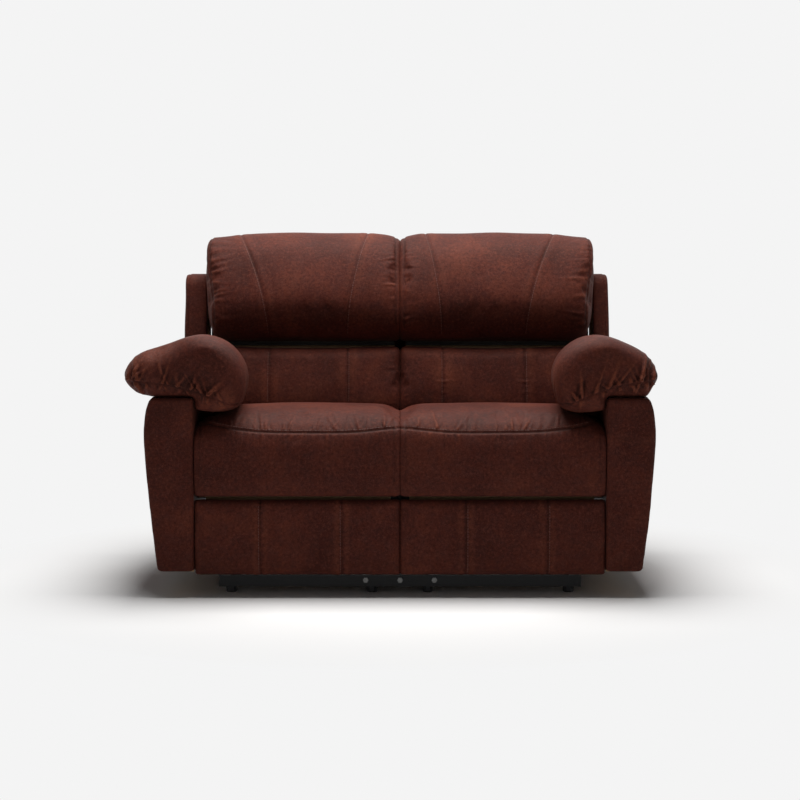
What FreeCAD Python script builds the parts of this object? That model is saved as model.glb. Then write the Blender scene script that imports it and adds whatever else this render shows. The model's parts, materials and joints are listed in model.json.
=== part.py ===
import FreeCAD, Part
import math
import os

# Two-seat reclining sofa. Millimetres, +Z up, front faces -Y, +X is the viewer's right.
# Everything is drawn for the right-hand seat and arm and mirrored to the left.
# While drawing, Y is measured rearward from the front plane of the seat cushions.

V = FreeCAD.Vector

# Overall driving dimensions
OVERALL_WIDTH = 1482.0
FRONT_TO_CENTRE = 445.0
CENTRE_GAP = 4.0
SEAT_WIDTH = 566.0
SEAT_DEPTH = 566.0
SEAT_CROWN = 519.0
SEAT_SEAM = 458.0
SEAT_REAR_TOP = 474.0
CUSHION_FOOT = 281.0
SOFT_GAP = 0.4

# Base rails and glides
GLIDE_HEIGHT = 17.0
GLIDE_RADIUS = 16.0
GLIDE_CHAMFER = 3.0
GLIDE_SIDES = 8
RAIL_TOP = 50.0
RAIL_HALF_LENGTH = 511.0
RAIL_THICK = 2.0
RAIL_LEG = 30.0
FRONT_RAIL_Y = 85.0
REAR_RAIL_Y = 588.0
SIDE_RAIL_LEG = 25.0
RAIL_BOLT_X = 97.0
RAIL_BOLT_LIFT = 2.0
RAIL_TAB = 35.0
GLIDE_X = (79.0, 476.0)
CUT_REACH = 9.0

# Side plates of the two mechanism units under a seat
INNER_UNIT_X = 76.5
OUTER_UNIT_X = 476.5
PLATE_THICK = 3.0
PLATE_TOP = 265.0
PLATE_REAR = 548.0
FLANGE_WIDTH = 22.0
WINDOW_WIDTH = 128.0
WINDOW_COUNT = 2
WINDOW_MARGIN = 48.0

# Lazy-tong footrest linkage
TONG_PIVOT_Y = 155.0
TONG_PIVOT_Z = 234.0
TONG_RISE = math.radians(10.0)
LINK_LENGTH = 175.0
LINK_CLOSED = math.radians(84.5)
LINK_OPEN = math.radians(5.5)
LINK_RADIUS = 8.0
LINK_THICK = 4.0
LINK_STAGES = 3
FIRST_LINK_OFFSET = 6.0
SECOND_LINK_OFFSET = 11.5
PIN_RADIUS = 4.0
PIN_SIDES = 8
ROUND_STEP = math.radians(31.0)
PIN_CLEARANCE = 0.08
SHOULDER_RADIUS = 6.5
HEAD_THICK = 1.4
FACE_CLEARANCE = 0.1
SHAFT_RADIUS = 6.0

# Footrest panel
FOOTREST_FOOT = 60.0
FOOTREST_TOP = 282.0
FOOTREST_THICK = 50.0
BOARD_THICK = 12.0
BOARD_INSET = 16.0
BRACKET_LOW = 80.0
BRACKET_HIGH = 165.0

# Seat box frame and webbing
FRAME_BOARD = 18.0
FRAME_FOOT = 265.0
FRAME_TOP = 332.0
FRAME_FRONT_FOOT = 250.0
LINK_SLOT_BEHIND = 5.0
LINK_SLOT_AHEAD = 27.0
FRAME_FRONT_Y = 62.0
FRAME_SIDE_INSET = 24.0
MOUNT_RAIL_TOP = 320.0
STRAP_THICK = 2.0
STRAP_WIDTH = 50.0
CROSS_STRAPS = 4
LONG_STRAPS = 5

# Arms
ARM_GAP = 3.0
ARM_FOOT = 73.0
ARM_TOP = 558.0
ARM_COVER_EDGE = 6.0
ARM_REAR = 636.0
ARM_FOOT_X = 675.0
ARM_WIDE_X = 706.0
ARM_WIDE_Z = 430.0
ARM_TOP_X = 688.0
COVER_THICK = 3.0
ARM_FRONT_DEPTH = 12.0
ARM_REAR_COVER = 8.0
OUTER_PANEL_THICK = 14.0
PANEL_REACH = 60.0
INNER_BOARD = 12.0
ARM_BOLT_Y = (160.0, 440.0)
ARM_BOLT_Z = 298.0
ARM_BOLT_REACH = 60.0
CLEAT_HALF = 40.0
BOLT_HALF = 3.5
BOLT_HEAD_RADIUS = 8.0
BOLT_HEAD = 5.0

# Arm pads
PAD_FRONT = -25.0
PAD_WAIST = 545.0
PAD_REAR = 640.0
PAD_TOP = 716.0
PAD_TIP_Z = 612.0
PAD_INNER_X = 424.0
PAD_OVER_SEAT = 5.0
PAD_ROLL = (6.0, 22.0, 60.0)
PAD_MID = 300.0
PAD_WAIST_ROLL = (50.0, 14.0)
PAD_CROWN = (50.0, 112.0, 36.0)
PAD_REAR_REACH = 0.7
PAD_REAR_RISE = 0.87

# Release handle in the outer side of each arm
CUP_Y = 150.0
CUP_LENGTH = 120.0
CUP_HEIGHT = 76.0
CUP_DEPTH = 34.0
CUP_WALL = 2.5
CUP_RIM = 9.0
LEVER_LENGTH = 50.0
LEVER_THICK = 5.0
LEVER_PIN_RADIUS = 2.5
LEVER_PIN_GRIP = 3.5

# Back
HINGE_Y = 650.0
HINGE_Z = 300.0
BACK_LEAN = 14.0
HINGE_PIN_RADIUS = 6.0
HINGE_PLATE = 4.0
HINGE_EYE_RADIUS = 20.0
HINGE_REACH = 90.0
BRACKET_REACH = 150.0
POST_WIDTH = 22.0
POST_DEPTH = 72.0
POST_TOP = 641.0
POST_FOOT = -30.0
RAIL_HEIGHT = 30.0
RAIL_FRONT = 10.0
RAIL_REAR = 60.0
RAIL_LOW = 30.0
STUB_FRONT = 20.0
BACK_STRAPS = 6
BACK_STRAP_FOOT = 110.0
SHELL_THICK = 30.0
SHELL_TOP = 690.0
SHELL_FOOT = -60.0
WING_INNER_X = 606.0
WING_OUTER_X = 656.0
WING_TOP = 608.0
WING_FRONT = -50.0
WING_BOARD = 18.0
WING_BOARD_FRONT = -20.0
WING_BOARD_FOOT = 30.0
WING_BOARD_TOP = 560.0
WING_STUBS = (60.0, 330.0)
PILLOW_FOOT = 378.0
PILLOW_TOP = 730.0
PILLOW_BULGE = 162.0
PILLOW_SEAMS = (122.0, 443.0)
LUMBAR_SEAMS = (158.0, 398.0)
LUMBAR_FOOT = 112.0
LUMBAR_TOP = 354.0
LUMBAR_BULGE = 118.0

# Values that follow from the driving dimensions
SEAT_IN = CENTRE_GAP / 2
SEAT_OUT = SEAT_IN + SEAT_WIDTH
ARM_IN = SEAT_OUT + ARM_GAP
PAD_TIP_X = OVERALL_WIDTH / 2
PAD_DRAPE_Z = SEAT_CROWN + PAD_OVER_SEAT
REST_ON = GLIDE_HEIGHT
BAY_IN = SEAT_IN + FRAME_SIDE_INSET + FRAME_BOARD
BAY_OUT = SEAT_OUT - FRAME_SIDE_INSET - FRAME_BOARD
FRAME_REAR = SEAT_DEPTH + SOFT_GAP
WEB_TOP = FRAME_TOP + STRAP_THICK
UNITS = ((INNER_UNIT_X, 1.0), (OUTER_UNIT_X, -1.0))


def box(x0, x1, y0, y1, z0, z1):
    return Part.makeBox(x1 - x0, y1 - y0, z1 - z0, V(x0, y0, z0))


def polygon(centre, along, radius, sides):
    """Regular prism that stands on centre."""
    normal = V(along).normalize()
    first = V(0, 0, 1) if abs(normal.z) < 0.5 else V(1, 0, 0)
    corners = []
    for index in range(sides + 1):
        turn = FreeCAD.Rotation(normal, 360.0 * (index + 0.5) / sides)
        corners.append(centre + turn.multVec(first) * radius)
    return Part.Face(Part.makePolygon(corners)).extrude(along)


def hexagon(centre, along, radius):
    """Hexagonal head or nut."""
    return polygon(centre, along, radius, 6)


def square_rod(start, along, half):
    """Square neck of a carriage bolt, or the hole that holds it."""
    return polygon(start, along, half * math.sqrt(2), 4)


def outline(place, start, *steps):
    """Closed wire: a plain point is reached by a line, a pair of points by an arc through the first."""
    here = place(*start)
    edges = []
    for step in steps + (start,):
        if isinstance(step[0], tuple):
            middle, end = place(*step[0]), place(*step[1])
            edges.append(Part.Arc(here, middle, end).toShape())
        else:
            end = place(*step)
            if end.distanceToPoint(here) < 1e-6:
                continue
            edges.append(Part.LineSegment(here, end).toShape())
        here = end
    return Part.Wire(edges)


def at_x(x):
    return lambda y, z: V(x, y, z)


def at_y(y):
    return lambda x, z: V(x, y, z)


def drawn_in(place, corner, share):
    """The same section shrunk towards a corner that its seating faces run through."""
    return lambda a, b: place(corner[0] + share * (a - corner[0]), corner[1] + share * (b - corner[1]))


def prism(wire, along):
    return Part.Face(wire).extrude(along)


def run_counts(wire):
    """Straight runs that each edge is drawn with: one for a line, more for an arc."""
    counts = []
    for edge in wire.OrderedEdges:
        turn = edge.Length / edge.Curve.Radius if isinstance(edge.Curve, Part.Circle) else 0.0
        counts.append(max(2, math.ceil(turn / ROUND_STEP)) if turn else 1)
    return counts


def chorded(wire, counts):
    """The same closed wire drawn in straight runs."""
    points = []
    for edge, run in zip(wire.OrderedEdges, counts):
        places = edge.discretize(Number=run + 1)
        if edge.Orientation == "Reversed":
            places.reverse()
        points += places[:-1]
    return Part.makePolygon(points + points[:1])


def loft(wires):
    counts = run_counts(wires[0])
    return Part.makeLoft([chorded(wire, counts) for wire in wires], True, True)


def pin_x(xa, xb, y, z, radius):
    """Rivet shank with many narrow flats."""
    return polygon(V(xa, y, z), V(xb - xa, 0, 0), radius, PIN_SIDES)


def bore_x(xa, xb, y, z, radius):
    """Hole whose flats stand clear of a shank of this radius."""
    reach = (radius + PIN_CLEARANCE) / math.cos(math.pi / PIN_SIDES)
    return pin_x(xa, xb, y, z, reach)


def eye_bar(xa, xb, p, q, radius):
    """Flat bar with round ends about the points p and q, each given as (y, z)."""
    dy, dz = q[0] - p[0], q[1] - p[1]
    length = math.hypot(dy, dz)
    uy, uz = dy / length * radius, dz / length * radius
    x = min(xa, xb)
    wire = outline(
        at_x(x),
        (p[0] - uz, p[1] + uy),
        (q[0] - uz, q[1] + uy),
        ((q[0] + uy, q[1] + uz), (q[0] + uz, q[1] - uy)),
        (p[0] + uz, p[1] - uy),
        ((p[0] - uy, p[1] - uz), (p[0] - uz, p[1] + uy)),
    )
    return prism(chorded(wire, run_counts(wire)), V(abs(xb - xa), 0, 0))


def fused(first, *others):
    return first.multiFuse(list(others)).removeSplitter()


def save(name, solids):
    shape = Part.makeCompound(solids)
    shape.translate(V(0, -FRONT_TO_CENTRE, 0))
    shape.exportStep("parts/" + name + ".step")


def mirrored(solids):
    return [solid.mirror(V(0, 0, 0), V(1, 0, 0)) for solid in solids]


def save_pair(name, solids):
    save(name + "_right", solids)
    save(name + "_left", mirrored(solids))


def save_all(name, solids):
    save(name, solids + mirrored(solids))


# Base: rails, glides and side plates

def cross_rail(front_face, inward):
    """Angle across the base; inward is +1 when its foot runs rearward."""
    back_face = front_face + inward * RAIL_THICK
    toe = front_face + inward * RAIL_LEG
    upright = box(-RAIL_HALF_LENGTH, RAIL_HALF_LENGTH, min(front_face, back_face),
                  max(front_face, back_face), REST_ON, RAIL_TOP)
    foot = box(-RAIL_HALF_LENGTH, RAIL_HALF_LENGTH, min(front_face, toe),
               max(front_face, toe), REST_ON, REST_ON + RAIL_THICK)
    return fused(upright, foot)


def base_bolt_points():
    return [-RAIL_BOLT_X, 0.0, RAIL_BOLT_X]


def bolt_level():
    return (REST_ON + RAIL_TOP) / 2 + RAIL_BOLT_LIFT


def make_cross_rails():
    front = cross_rail(FRONT_RAIL_Y, 1)
    rear = cross_rail(REAR_RAIL_Y + RAIL_THICK, -1)
    for x in base_bolt_points():
        cutter = square_rod(V(x, 0, bolt_level()), V(0, SEAT_DEPTH + 100, 0), BOLT_HALF + PIN_CLEARANCE)
        front = front.cut(cutter)
        rear = rear.cut(cutter)
    save("front_rail", [front])
    save("rear_rail", [rear])


def side_rail(unit_x, side):
    """Angle under one side plate, with a tab at each end for the cross rails."""
    low = REST_ON + RAIL_THICK
    start = FRONT_RAIL_Y + RAIL_THICK
    web = sorted((unit_x, unit_x - side * RAIL_THICK))
    foot = sorted((unit_x - side * RAIL_THICK, unit_x + side * SIDE_RAIL_LEG))
    tab = sorted((unit_x - side * RAIL_THICK, unit_x + side * RAIL_TAB))
    rail = fused(
        box(web[0], web[1], start, REAR_RAIL_Y, low, RAIL_TOP),
        box(foot[0], foot[1], start, REAR_RAIL_Y, low, low + RAIL_THICK),
        box(tab[0], tab[1], start, start + RAIL_THICK, low, RAIL_TOP),
        box(tab[0], tab[1], REAR_RAIL_Y - RAIL_THICK, REAR_RAIL_Y, low, RAIL_TOP),
    )
    for y in plate_bolt_places():
        rail = rail.cut(plate_bolt_hole(unit_x, y))
    along = V(0, REAR_RAIL_Y + CUT_REACH, 0)
    return rail.cut(square_rod(V(RAIL_BOLT_X, 0, bolt_level()), along, BOLT_HALF + PIN_CLEARANCE))


def plate_bolt_hole(unit_x, y):
    start = V(unit_x - CUT_REACH, y, bolt_level())
    return square_rod(start, V(2 * CUT_REACH, 0, 0), BOLT_HALF + PIN_CLEARANCE)


def plate_bolt_places():
    return [TONG_PIVOT_Y + 25.0, PLATE_REAR - 50.0]


def glide_places():
    inset = GLIDE_RADIUS - 1.0
    return [FRONT_RAIL_Y + inset, REAR_RAIL_Y - inset]


def glide(x, y):
    """Eight-sided plastic foot, chamfered round its sole."""
    foot = polygon(V(x, y, 0), V(0, 0, GLIDE_HEIGHT), GLIDE_RADIUS, GLIDE_SIDES)
    sole = [edge for edge in foot.Edges if edge.BoundBox.ZMax < 0.01]
    return foot.makeChamfer(GLIDE_CHAMFER, sole)


def hex_bolt(seat, along, grip, radius):
    """Bolt whose head bears on seat and whose nut closes on the far side of grip."""
    step = V(along).normalize()
    back = step * -BOLT_HEAD
    nut = seat + step * grip
    shank = square_rod(seat, step * (grip + 1.6 * BOLT_HEAD), BOLT_HALF)
    return fused(shank, hexagon(seat, back, radius), hexagon(nut, step * BOLT_HEAD, radius))


def make_rail_bolts():
    bolts = []
    z = bolt_level()
    for x in base_bolt_points():
        grip = RAIL_THICK if x == 0 else 2 * RAIL_THICK
        bolts.append(hex_bolt(V(x, FRONT_RAIL_Y, z), V(0, 1, 0), grip, BOLT_HEAD_RADIUS))
        bolts.append(hex_bolt(V(x, REAR_RAIL_Y + RAIL_THICK, z), V(0, -1, 0), grip, BOLT_HEAD_RADIUS))
    pairs = [plate_bolt(x, side, y) for x, side in UNITS for y in plate_bolt_places()]
    save("rail_bolts", bolts + pairs + mirrored(pairs))


def plate_bolt(unit_x, side, y):
    """Low bolt through a side rail and its plate."""
    start = V(unit_x - side * RAIL_THICK, y, bolt_level())
    along = V(side, 0, 0)
    shank = square_rod(start, along * (RAIL_THICK + PLATE_THICK), BOLT_HALF)
    return fused(shank, hexagon(start, along * -HEAD_THICK, SHOULDER_RADIUS),
                 hexagon(start + along * (RAIL_THICK + PLATE_THICK), along * HEAD_THICK, SHOULDER_RADIUS))


def tong_point(stage, angle, low):
    """Joint of the linkage as (y, z): upper row B or, when low, lower row A."""
    y = TONG_PIVOT_Y - stage * LINK_LENGTH * math.cos(angle) * math.cos(TONG_RISE)
    z = TONG_PIVOT_Z + stage * LINK_LENGTH * math.cos(angle) * math.sin(TONG_RISE)
    if low:
        y -= LINK_LENGTH * math.sin(angle) * math.sin(TONG_RISE)
        z -= LINK_LENGTH * math.sin(angle) * math.cos(TONG_RISE)
    return y, z


def middle(p, q):
    return (p[0] + q[0]) / 2, (p[1] + q[1]) / 2


def plate_window(index, x):
    """One rounded lightening window in the plate's web."""
    start = TONG_PIVOT_Y + WINDOW_MARGIN
    web = (PLATE_REAR - WINDOW_MARGIN / 2 - start) / WINDOW_COUNT
    centre = start + web * (index + 0.5)
    half = WINDOW_WIDTH / 2
    low, high = RAIL_TOP + 34, PLATE_TOP - 38
    cut = half * 0.35
    return prism(outline(
        at_x(x - CUT_REACH),
        (centre - half, low + cut), (centre - half, high - cut),
        (centre - half + cut, high), (centre + half - cut, high),
        (centre + half, high - cut), (centre + half, low + cut),
        (centre + half - cut, low), (centre - half + cut, low),
    ), V(2 * CUT_REACH, 0, 0))


def side_plate(unit_x, side):
    """Steel plate with the guide slot for the first sliding pin, and a flange for the seat box."""
    x0 = min(unit_x, unit_x + side * PLATE_THICK)
    start = tong_point(0, LINK_CLOSED, True)
    lead = tong_point(0, LINK_OPEN, True)
    nose = 20.0
    web = outline(
        at_x(x0),
        (PLATE_REAR, REST_ON + 7),
        (PLATE_REAR, PLATE_TOP - PLATE_THICK),
        (TONG_PIVOT_Y - 4, PLATE_TOP - PLATE_THICK),
        ((TONG_PIVOT_Y - nose + 2, PLATE_TOP - 12), (TONG_PIVOT_Y - nose - 2, TONG_PIVOT_Z)),
        (start[0] - nose, start[1] + 8),
        ((start[0] - 0.8 * nose, start[1] - 22), (start[0] + 8, REST_ON + 7)),
    )
    plate = prism(web, V(PLATE_THICK, 0, 0))
    flange_x = sorted((unit_x - side * FLANGE_WIDTH, unit_x + side * PLATE_THICK))
    flange = box(flange_x[0], flange_x[1], TONG_PIVOT_Y - 4, PLATE_REAR, PLATE_TOP - PLATE_THICK, PLATE_TOP)
    plate = fused(plate, flange)
    slot = eye_bar(x0 - CUT_REACH, x0 + CUT_REACH, start, lead, PIN_RADIUS + 2 * PIN_CLEARANCE)
    pivot = bore_x(x0 - CUT_REACH, x0 + CUT_REACH, TONG_PIVOT_Y, TONG_PIVOT_Z, PIN_RADIUS)
    plate = plate.cut(slot).cut(pivot)
    for y in plate_bolt_places():
        plate = plate.cut(plate_bolt_hole(x0, y))
    for index in range(WINDOW_COUNT):
        plate = plate.cut(plate_window(index, x0))
    return plate


def plane(unit_x, side, offset):
    """Near and far face of a link that lies offset from the outer face of its plate."""
    near = unit_x + side * offset
    return near, near + side * LINK_THICK


def pivot_pin(unit_x, side):
    """Pin that carries the first link, riveted into the plate."""
    y, z = TONG_PIVOT_Y, TONG_PIVOT_Z
    far = plane(unit_x, side, SECOND_LINK_OFFSET)[1]
    return fused(
        pin_x(unit_x, far - side * FACE_CLEARANCE, y, z, PIN_RADIUS),
        hexagon(V(unit_x, y, z), V(-side * HEAD_THICK, 0, 0), SHOULDER_RADIUS),
    )


def make_base():
    make_cross_rails()
    save_all("side_rails", [side_rail(x, side) for x, side in UNITS])
    save_all("glides", [glide(x, y) for x in GLIDE_X for y in glide_places()])
    make_rail_bolts()
    save_pair("side_plates", [side_plate(x, side) for x, side in UNITS])
    save_all("pivot_pins", [pivot_pin(x, side) for x, side in UNITS] + hinge_pins())


# Footrest linkage

def low_link(unit_x, side, stage):
    """Link from upper joint stage-1 to lower joint stage, with its crossing and end rivets."""
    near, far = plane(unit_x, side, SECOND_LINK_OFFSET)
    first_near = plane(unit_x, side, FIRST_LINK_OFFSET)[0]
    top = tong_point(stage - 1, LINK_CLOSED, False)
    end = tong_point(stage, LINK_CLOSED, True)
    link = eye_bar(near, far, top, end, LINK_RADIUS)
    link = link.cut(bore_x(near, far, top[0], top[1], PIN_RADIUS))
    rivets = [middle(top, end)]
    if stage < LINK_STAGES:
        rivets.append(end)
    for y, z in rivets:
        link = fused(link, *rivet(near, first_near, y, z))
    return link


def rivet(carrier, far, y, z):
    """Journal and head that stand on carrier and hold a link lying from near to far."""
    away = 1.0 if far > carrier else -1.0
    head = far + away * FACE_CLEARANCE
    return (
        pin_x(carrier, head, y, z, PIN_RADIUS),
        hexagon(V(head, y, z), V(away * HEAD_THICK, 0, 0), SHOULDER_RADIUS),
    )


def high_link(unit_x, side, stage):
    """Link from lower joint stage-1 to upper joint stage, bored for the crossing rivet."""
    near, far = plane(unit_x, side, FIRST_LINK_OFFSET)
    second_far = plane(unit_x, side, SECOND_LINK_OFFSET)[1]
    start = tong_point(stage - 1, LINK_CLOSED, True)
    end = tong_point(stage, LINK_CLOSED, False)
    cross = middle(start, end)
    half = stage == LINK_STAGES
    link = eye_bar(near, far, start, cross if half else end, LINK_RADIUS)
    link = link.cut(bore_x(near, far, cross[0], cross[1], PIN_RADIUS))
    if stage > 1:
        link = link.cut(bore_x(near, far, start[0], start[1], PIN_RADIUS))
    else:
        link = fused(link, *slot_pin(unit_x, side, near, start))
    if not half:
        link = fused(link, *rivet(far, second_far, end[0], end[1]))
    return link


def slot_pin(unit_x, side, near, place):
    """Pin that runs in the plate's guide slot, with its head outside the plate."""
    y, z = place
    out = unit_x - side * FACE_CLEARANCE
    return (
        pin_x(out, near, y, z, PIN_RADIUS),
        hexagon(V(out, y, z), V(-side * HEAD_THICK, 0, 0), SHOULDER_RADIUS),
    )


def footrest_bracket(unit_x, side):
    """Plate and foot that join the last link to the footrest board."""
    near, far = plane(unit_x, side, SECOND_LINK_OFFSET)
    top = tong_point(LINK_STAGES - 1, LINK_CLOSED, False)
    end = tong_point(LINK_STAGES, LINK_CLOSED, True)
    slope = (top[0] - end[0]) / (top[1] - end[1])
    face = FOOTREST_THICK + BOARD_THICK
    web = outline(
        at_x(min(near, far)),
        (face, BRACKET_LOW),
        (face, BRACKET_HIGH - 20),
        (face + 5, BRACKET_HIGH - 6),
        (face + 18, BRACKET_HIGH),
        (end[0] + slope * (BRACKET_HIGH - end[1]), BRACKET_HIGH),
        (end[0] + slope * (BRACKET_LOW - end[1]), BRACKET_LOW),
    )
    foot = sorted((near, near + side * 24.0))
    return (
        prism(web, V(LINK_THICK, 0, 0)),
        box(foot[0], foot[1], face, face + PLATE_THICK, BRACKET_LOW, BRACKET_HIGH - 20),
    )


def make_links():
    for stage in range(1, LINK_STAGES + 1):
        low = [low_link(x, side, stage) for x, side in UNITS]
        if stage == LINK_STAGES:
            low = [fused(link, *footrest_bracket(x, side)) for link, (x, side) in zip(low, UNITS)]
        save_pair("low_link_%d" % stage, low)
        save_pair("high_link_%d" % stage, [high_link(x, side, stage) for x, side in UNITS])
    ends = [plane(x, side, SECOND_LINK_OFFSET)[1] for x, side in UNITS]
    save_pair("drive_shaft", [pin_x(ends[0], ends[1], TONG_PIVOT_Y, TONG_PIVOT_Z, SHAFT_RADIUS)])


def footrest_section(x, share):
    back = FOOTREST_THICK - SOFT_GAP
    low, high = FOOTREST_FOOT, FOOTREST_TOP
    level = (low + high) / 2
    return outline(
        drawn_in(at_x(x), (back, level), share),
        (back, low + 6),
        ((20, low + 1), (3, low + 18)),
        ((0, level - 5), (4, high - 16)),
        ((9, high - 8), (20, high - 6)),
        (back, high - 24),
    )


def make_footrest():
    board = box(SEAT_IN + BOARD_INSET, SEAT_OUT - BOARD_INSET, FOOTREST_THICK, FOOTREST_THICK + BOARD_THICK,
                FOOTREST_FOOT + 6, FOOTREST_TOP - 36)
    save_pair("footrest_board", [board])
    width = SEAT_WIDTH - 1.0
    start = SEAT_IN + 0.5
    for name, seams in (("right", (0.32, 0.72)), ("left", (0.28, 0.68))):
        stops = [(0.0, 0.92), (0.035, 0.985), (seams[0] / 2, 1.0), (seams[0], 0.955),
                 (sum(seams) / 2, 1.0), (seams[1], 0.955), ((1 + seams[1]) / 2, 1.0),
                 (0.965, 0.985), (1.0, 0.92)]
        pad = loft([footrest_section(start + place * width, share) for place, share in stops])
        save("footrest_pad_" + name, [pad] if name == "right" else mirrored([pad]))


# Seat

def seat_boards():
    """Loose boards of the seat's box frame."""
    rear = FRAME_REAR
    front_rear_face = FRAME_FRONT_Y + FRAME_BOARD
    in_board = BAY_IN - FRAME_BOARD
    out_board = BAY_OUT + FRAME_BOARD
    side_top = FRAME_TOP - STRAP_THICK
    front = box(in_board, out_board, FRAME_FRONT_Y, front_rear_face, FRAME_FRONT_FOOT, FRAME_TOP)
    for x, side in UNITS:
        left, right = sorted((x - side * LINK_SLOT_BEHIND, x + side * LINK_SLOT_AHEAD))
        front = front.cut(box(left, right, FRAME_FRONT_Y, front_rear_face, FRAME_FRONT_FOOT, FRAME_FOOT))
    back = box(BAY_IN + HINGE_PLATE, BAY_OUT - HINGE_PLATE, rear - FRAME_BOARD, rear, FRAME_FOOT, FRAME_TOP)
    sides = [box(x, x + FRAME_BOARD, front_rear_face, rear, FRAME_FOOT, side_top)
             for x in (in_board, BAY_OUT)]
    mounts = [box(*sorted((x - side * FLANGE_WIDTH, x)), front_rear_face, rear - FRAME_BOARD,
                  FRAME_FOOT, MOUNT_RAIL_TOP) for x, side in UNITS]
    outer = sides[1]
    for y in ARM_BOLT_Y:
        outer = outer.cut(arm_bolt_hole(y))
    return [front, back, sides[0], outer] + mounts


def arm_bolt_hole(y):
    start = V(BAY_OUT - CUT_REACH, y, ARM_BOLT_Z)
    return square_rod(start, V(ARM_IN + ARM_BOLT_REACH - BAY_OUT, 0, 0), BOLT_HALF + PIN_CLEARANCE)


def arm_cleats():
    """Spacer blocks between the seat box and the arm, one round each bolt."""
    start = BAY_OUT + FRAME_BOARD
    blocks = [box(start, ARM_IN, y - CLEAT_HALF, y + CLEAT_HALF, FRAME_FOOT, FRAME_TOP - STRAP_THICK)
              for y in ARM_BOLT_Y]
    return [block.cut(arm_bolt_hole(y)) for block, y in zip(blocks, ARM_BOLT_Y)]


def strap_places(start, end, count):
    """Lower edge of each of count straps spread evenly from start to end."""
    share = (end - start) / count
    return [start + (index + 0.5) * share - STRAP_WIDTH / 2 for index in range(count)]


def seat_straps():
    """Cross straps on the side boards, and lengthwise straps over them."""
    straps = []
    for y in strap_places(FRAME_FRONT_Y + FRAME_BOARD, FRAME_REAR - FRAME_BOARD, CROSS_STRAPS):
        straps.append(box(BAY_IN - FRAME_BOARD, BAY_OUT + FRAME_BOARD, y, y + STRAP_WIDTH,
                          FRAME_TOP - STRAP_THICK, FRAME_TOP))
    for x in strap_places(BAY_IN, BAY_OUT, LONG_STRAPS):
        straps.append(box(x, x + STRAP_WIDTH, FRAME_FRONT_Y, FRAME_REAR, FRAME_TOP, WEB_TOP))
    return straps


def seat_section(x, length_share, height_share):
    """Cushion cut along its depth: a front apron, a rolled edge and a crown that falls to the rear."""
    floor = WEB_TOP + SOFT_GAP
    apron = FRAME_FRONT_Y - SOFT_GAP

    def place(y, z):
        return V(x, apron + length_share * (y - apron), floor + height_share * (z - floor))

    return outline(
        place,
        (apron, CUSHION_FOOT),
        (12, CUSHION_FOOT),
        ((0, (CUSHION_FOOT + SEAT_SEAM) / 2), (5, SEAT_SEAM)),
        ((62, SEAT_CROWN - 12), (200, SEAT_CROWN)),
        ((400, SEAT_CROWN - 12), (SEAT_DEPTH - 14, SEAT_REAR_TOP)),
        (SEAT_DEPTH, SEAT_REAR_TOP - 30),
        (SEAT_DEPTH, floor),
        (apron, floor),
    )


def make_seat():
    save_pair("seat_frame", seat_boards() + arm_cleats())
    save_pair("seat_webbing", seat_straps())
    stops = [(SEAT_IN, 0.955, 0.9), (SEAT_IN + 22, 0.985, 0.96), (SEAT_IN + 110, 1.0, 0.995),
             (SEAT_OUT - 110, 1.0, 0.995), (SEAT_OUT - 22, 0.985, 0.96), (SEAT_OUT, 0.955, 0.9)]
    save_pair("seat_cushion", [loft([seat_section(*stop) for stop in stops])])


# Arms

def arm_profile(y, inner, inset):
    """Arm seen from the front: straight inside, outside swelling to its widest below the pad."""
    return outline(
        at_y(y),
        (inner, ARM_FOOT),
        (ARM_FOOT_X - inset, ARM_FOOT),
        ((ARM_FOOT_X + 19 - inset, (ARM_FOOT + ARM_WIDE_Z) / 2), (ARM_WIDE_X - inset, ARM_WIDE_Z)),
        ((ARM_WIDE_X - 2 - inset, (ARM_WIDE_Z + ARM_TOP) / 2 + 10), (ARM_TOP_X - inset, ARM_TOP)),
        (inner, ARM_TOP),
    )


def arm_slab(y0, y1, inner, inset):
    return prism(arm_profile(y0, inner, inset), V(0, y1 - y0, 0))


def arm_boards():
    board_in = ARM_IN + COVER_THICK
    core_in = board_in + INNER_BOARD
    front, rear = ARM_FRONT_DEPTH, ARM_REAR - ARM_REAR_COVER
    top = ARM_TOP - ARM_COVER_EDGE - FRAME_BOARD
    core = arm_slab(front, rear, core_in, OUTER_PANEL_THICK)
    outer = ARM_WIDE_X
    inner_board = box(board_in, core_in, front, rear, ARM_FOOT, top)
    for y in ARM_BOLT_Y:
        inner_board = inner_board.cut(arm_bolt_hole(y))
    whole = arm_slab(front, rear, board_in, OUTER_PANEL_THICK)
    return [
        inner_board,
        core.common(box(core_in, outer, front, front + FRAME_BOARD, ARM_FOOT, top)),
        core.common(box(core_in, outer, rear - FRAME_BOARD, rear, ARM_FOOT, top)),
        core.common(box(core_in, outer, front + FRAME_BOARD, rear - FRAME_BOARD, ARM_FOOT,
                        ARM_FOOT + FRAME_BOARD)),
        whole.common(box(board_in, outer, front, rear, top, top + FRAME_BOARD)),
    ]


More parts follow.
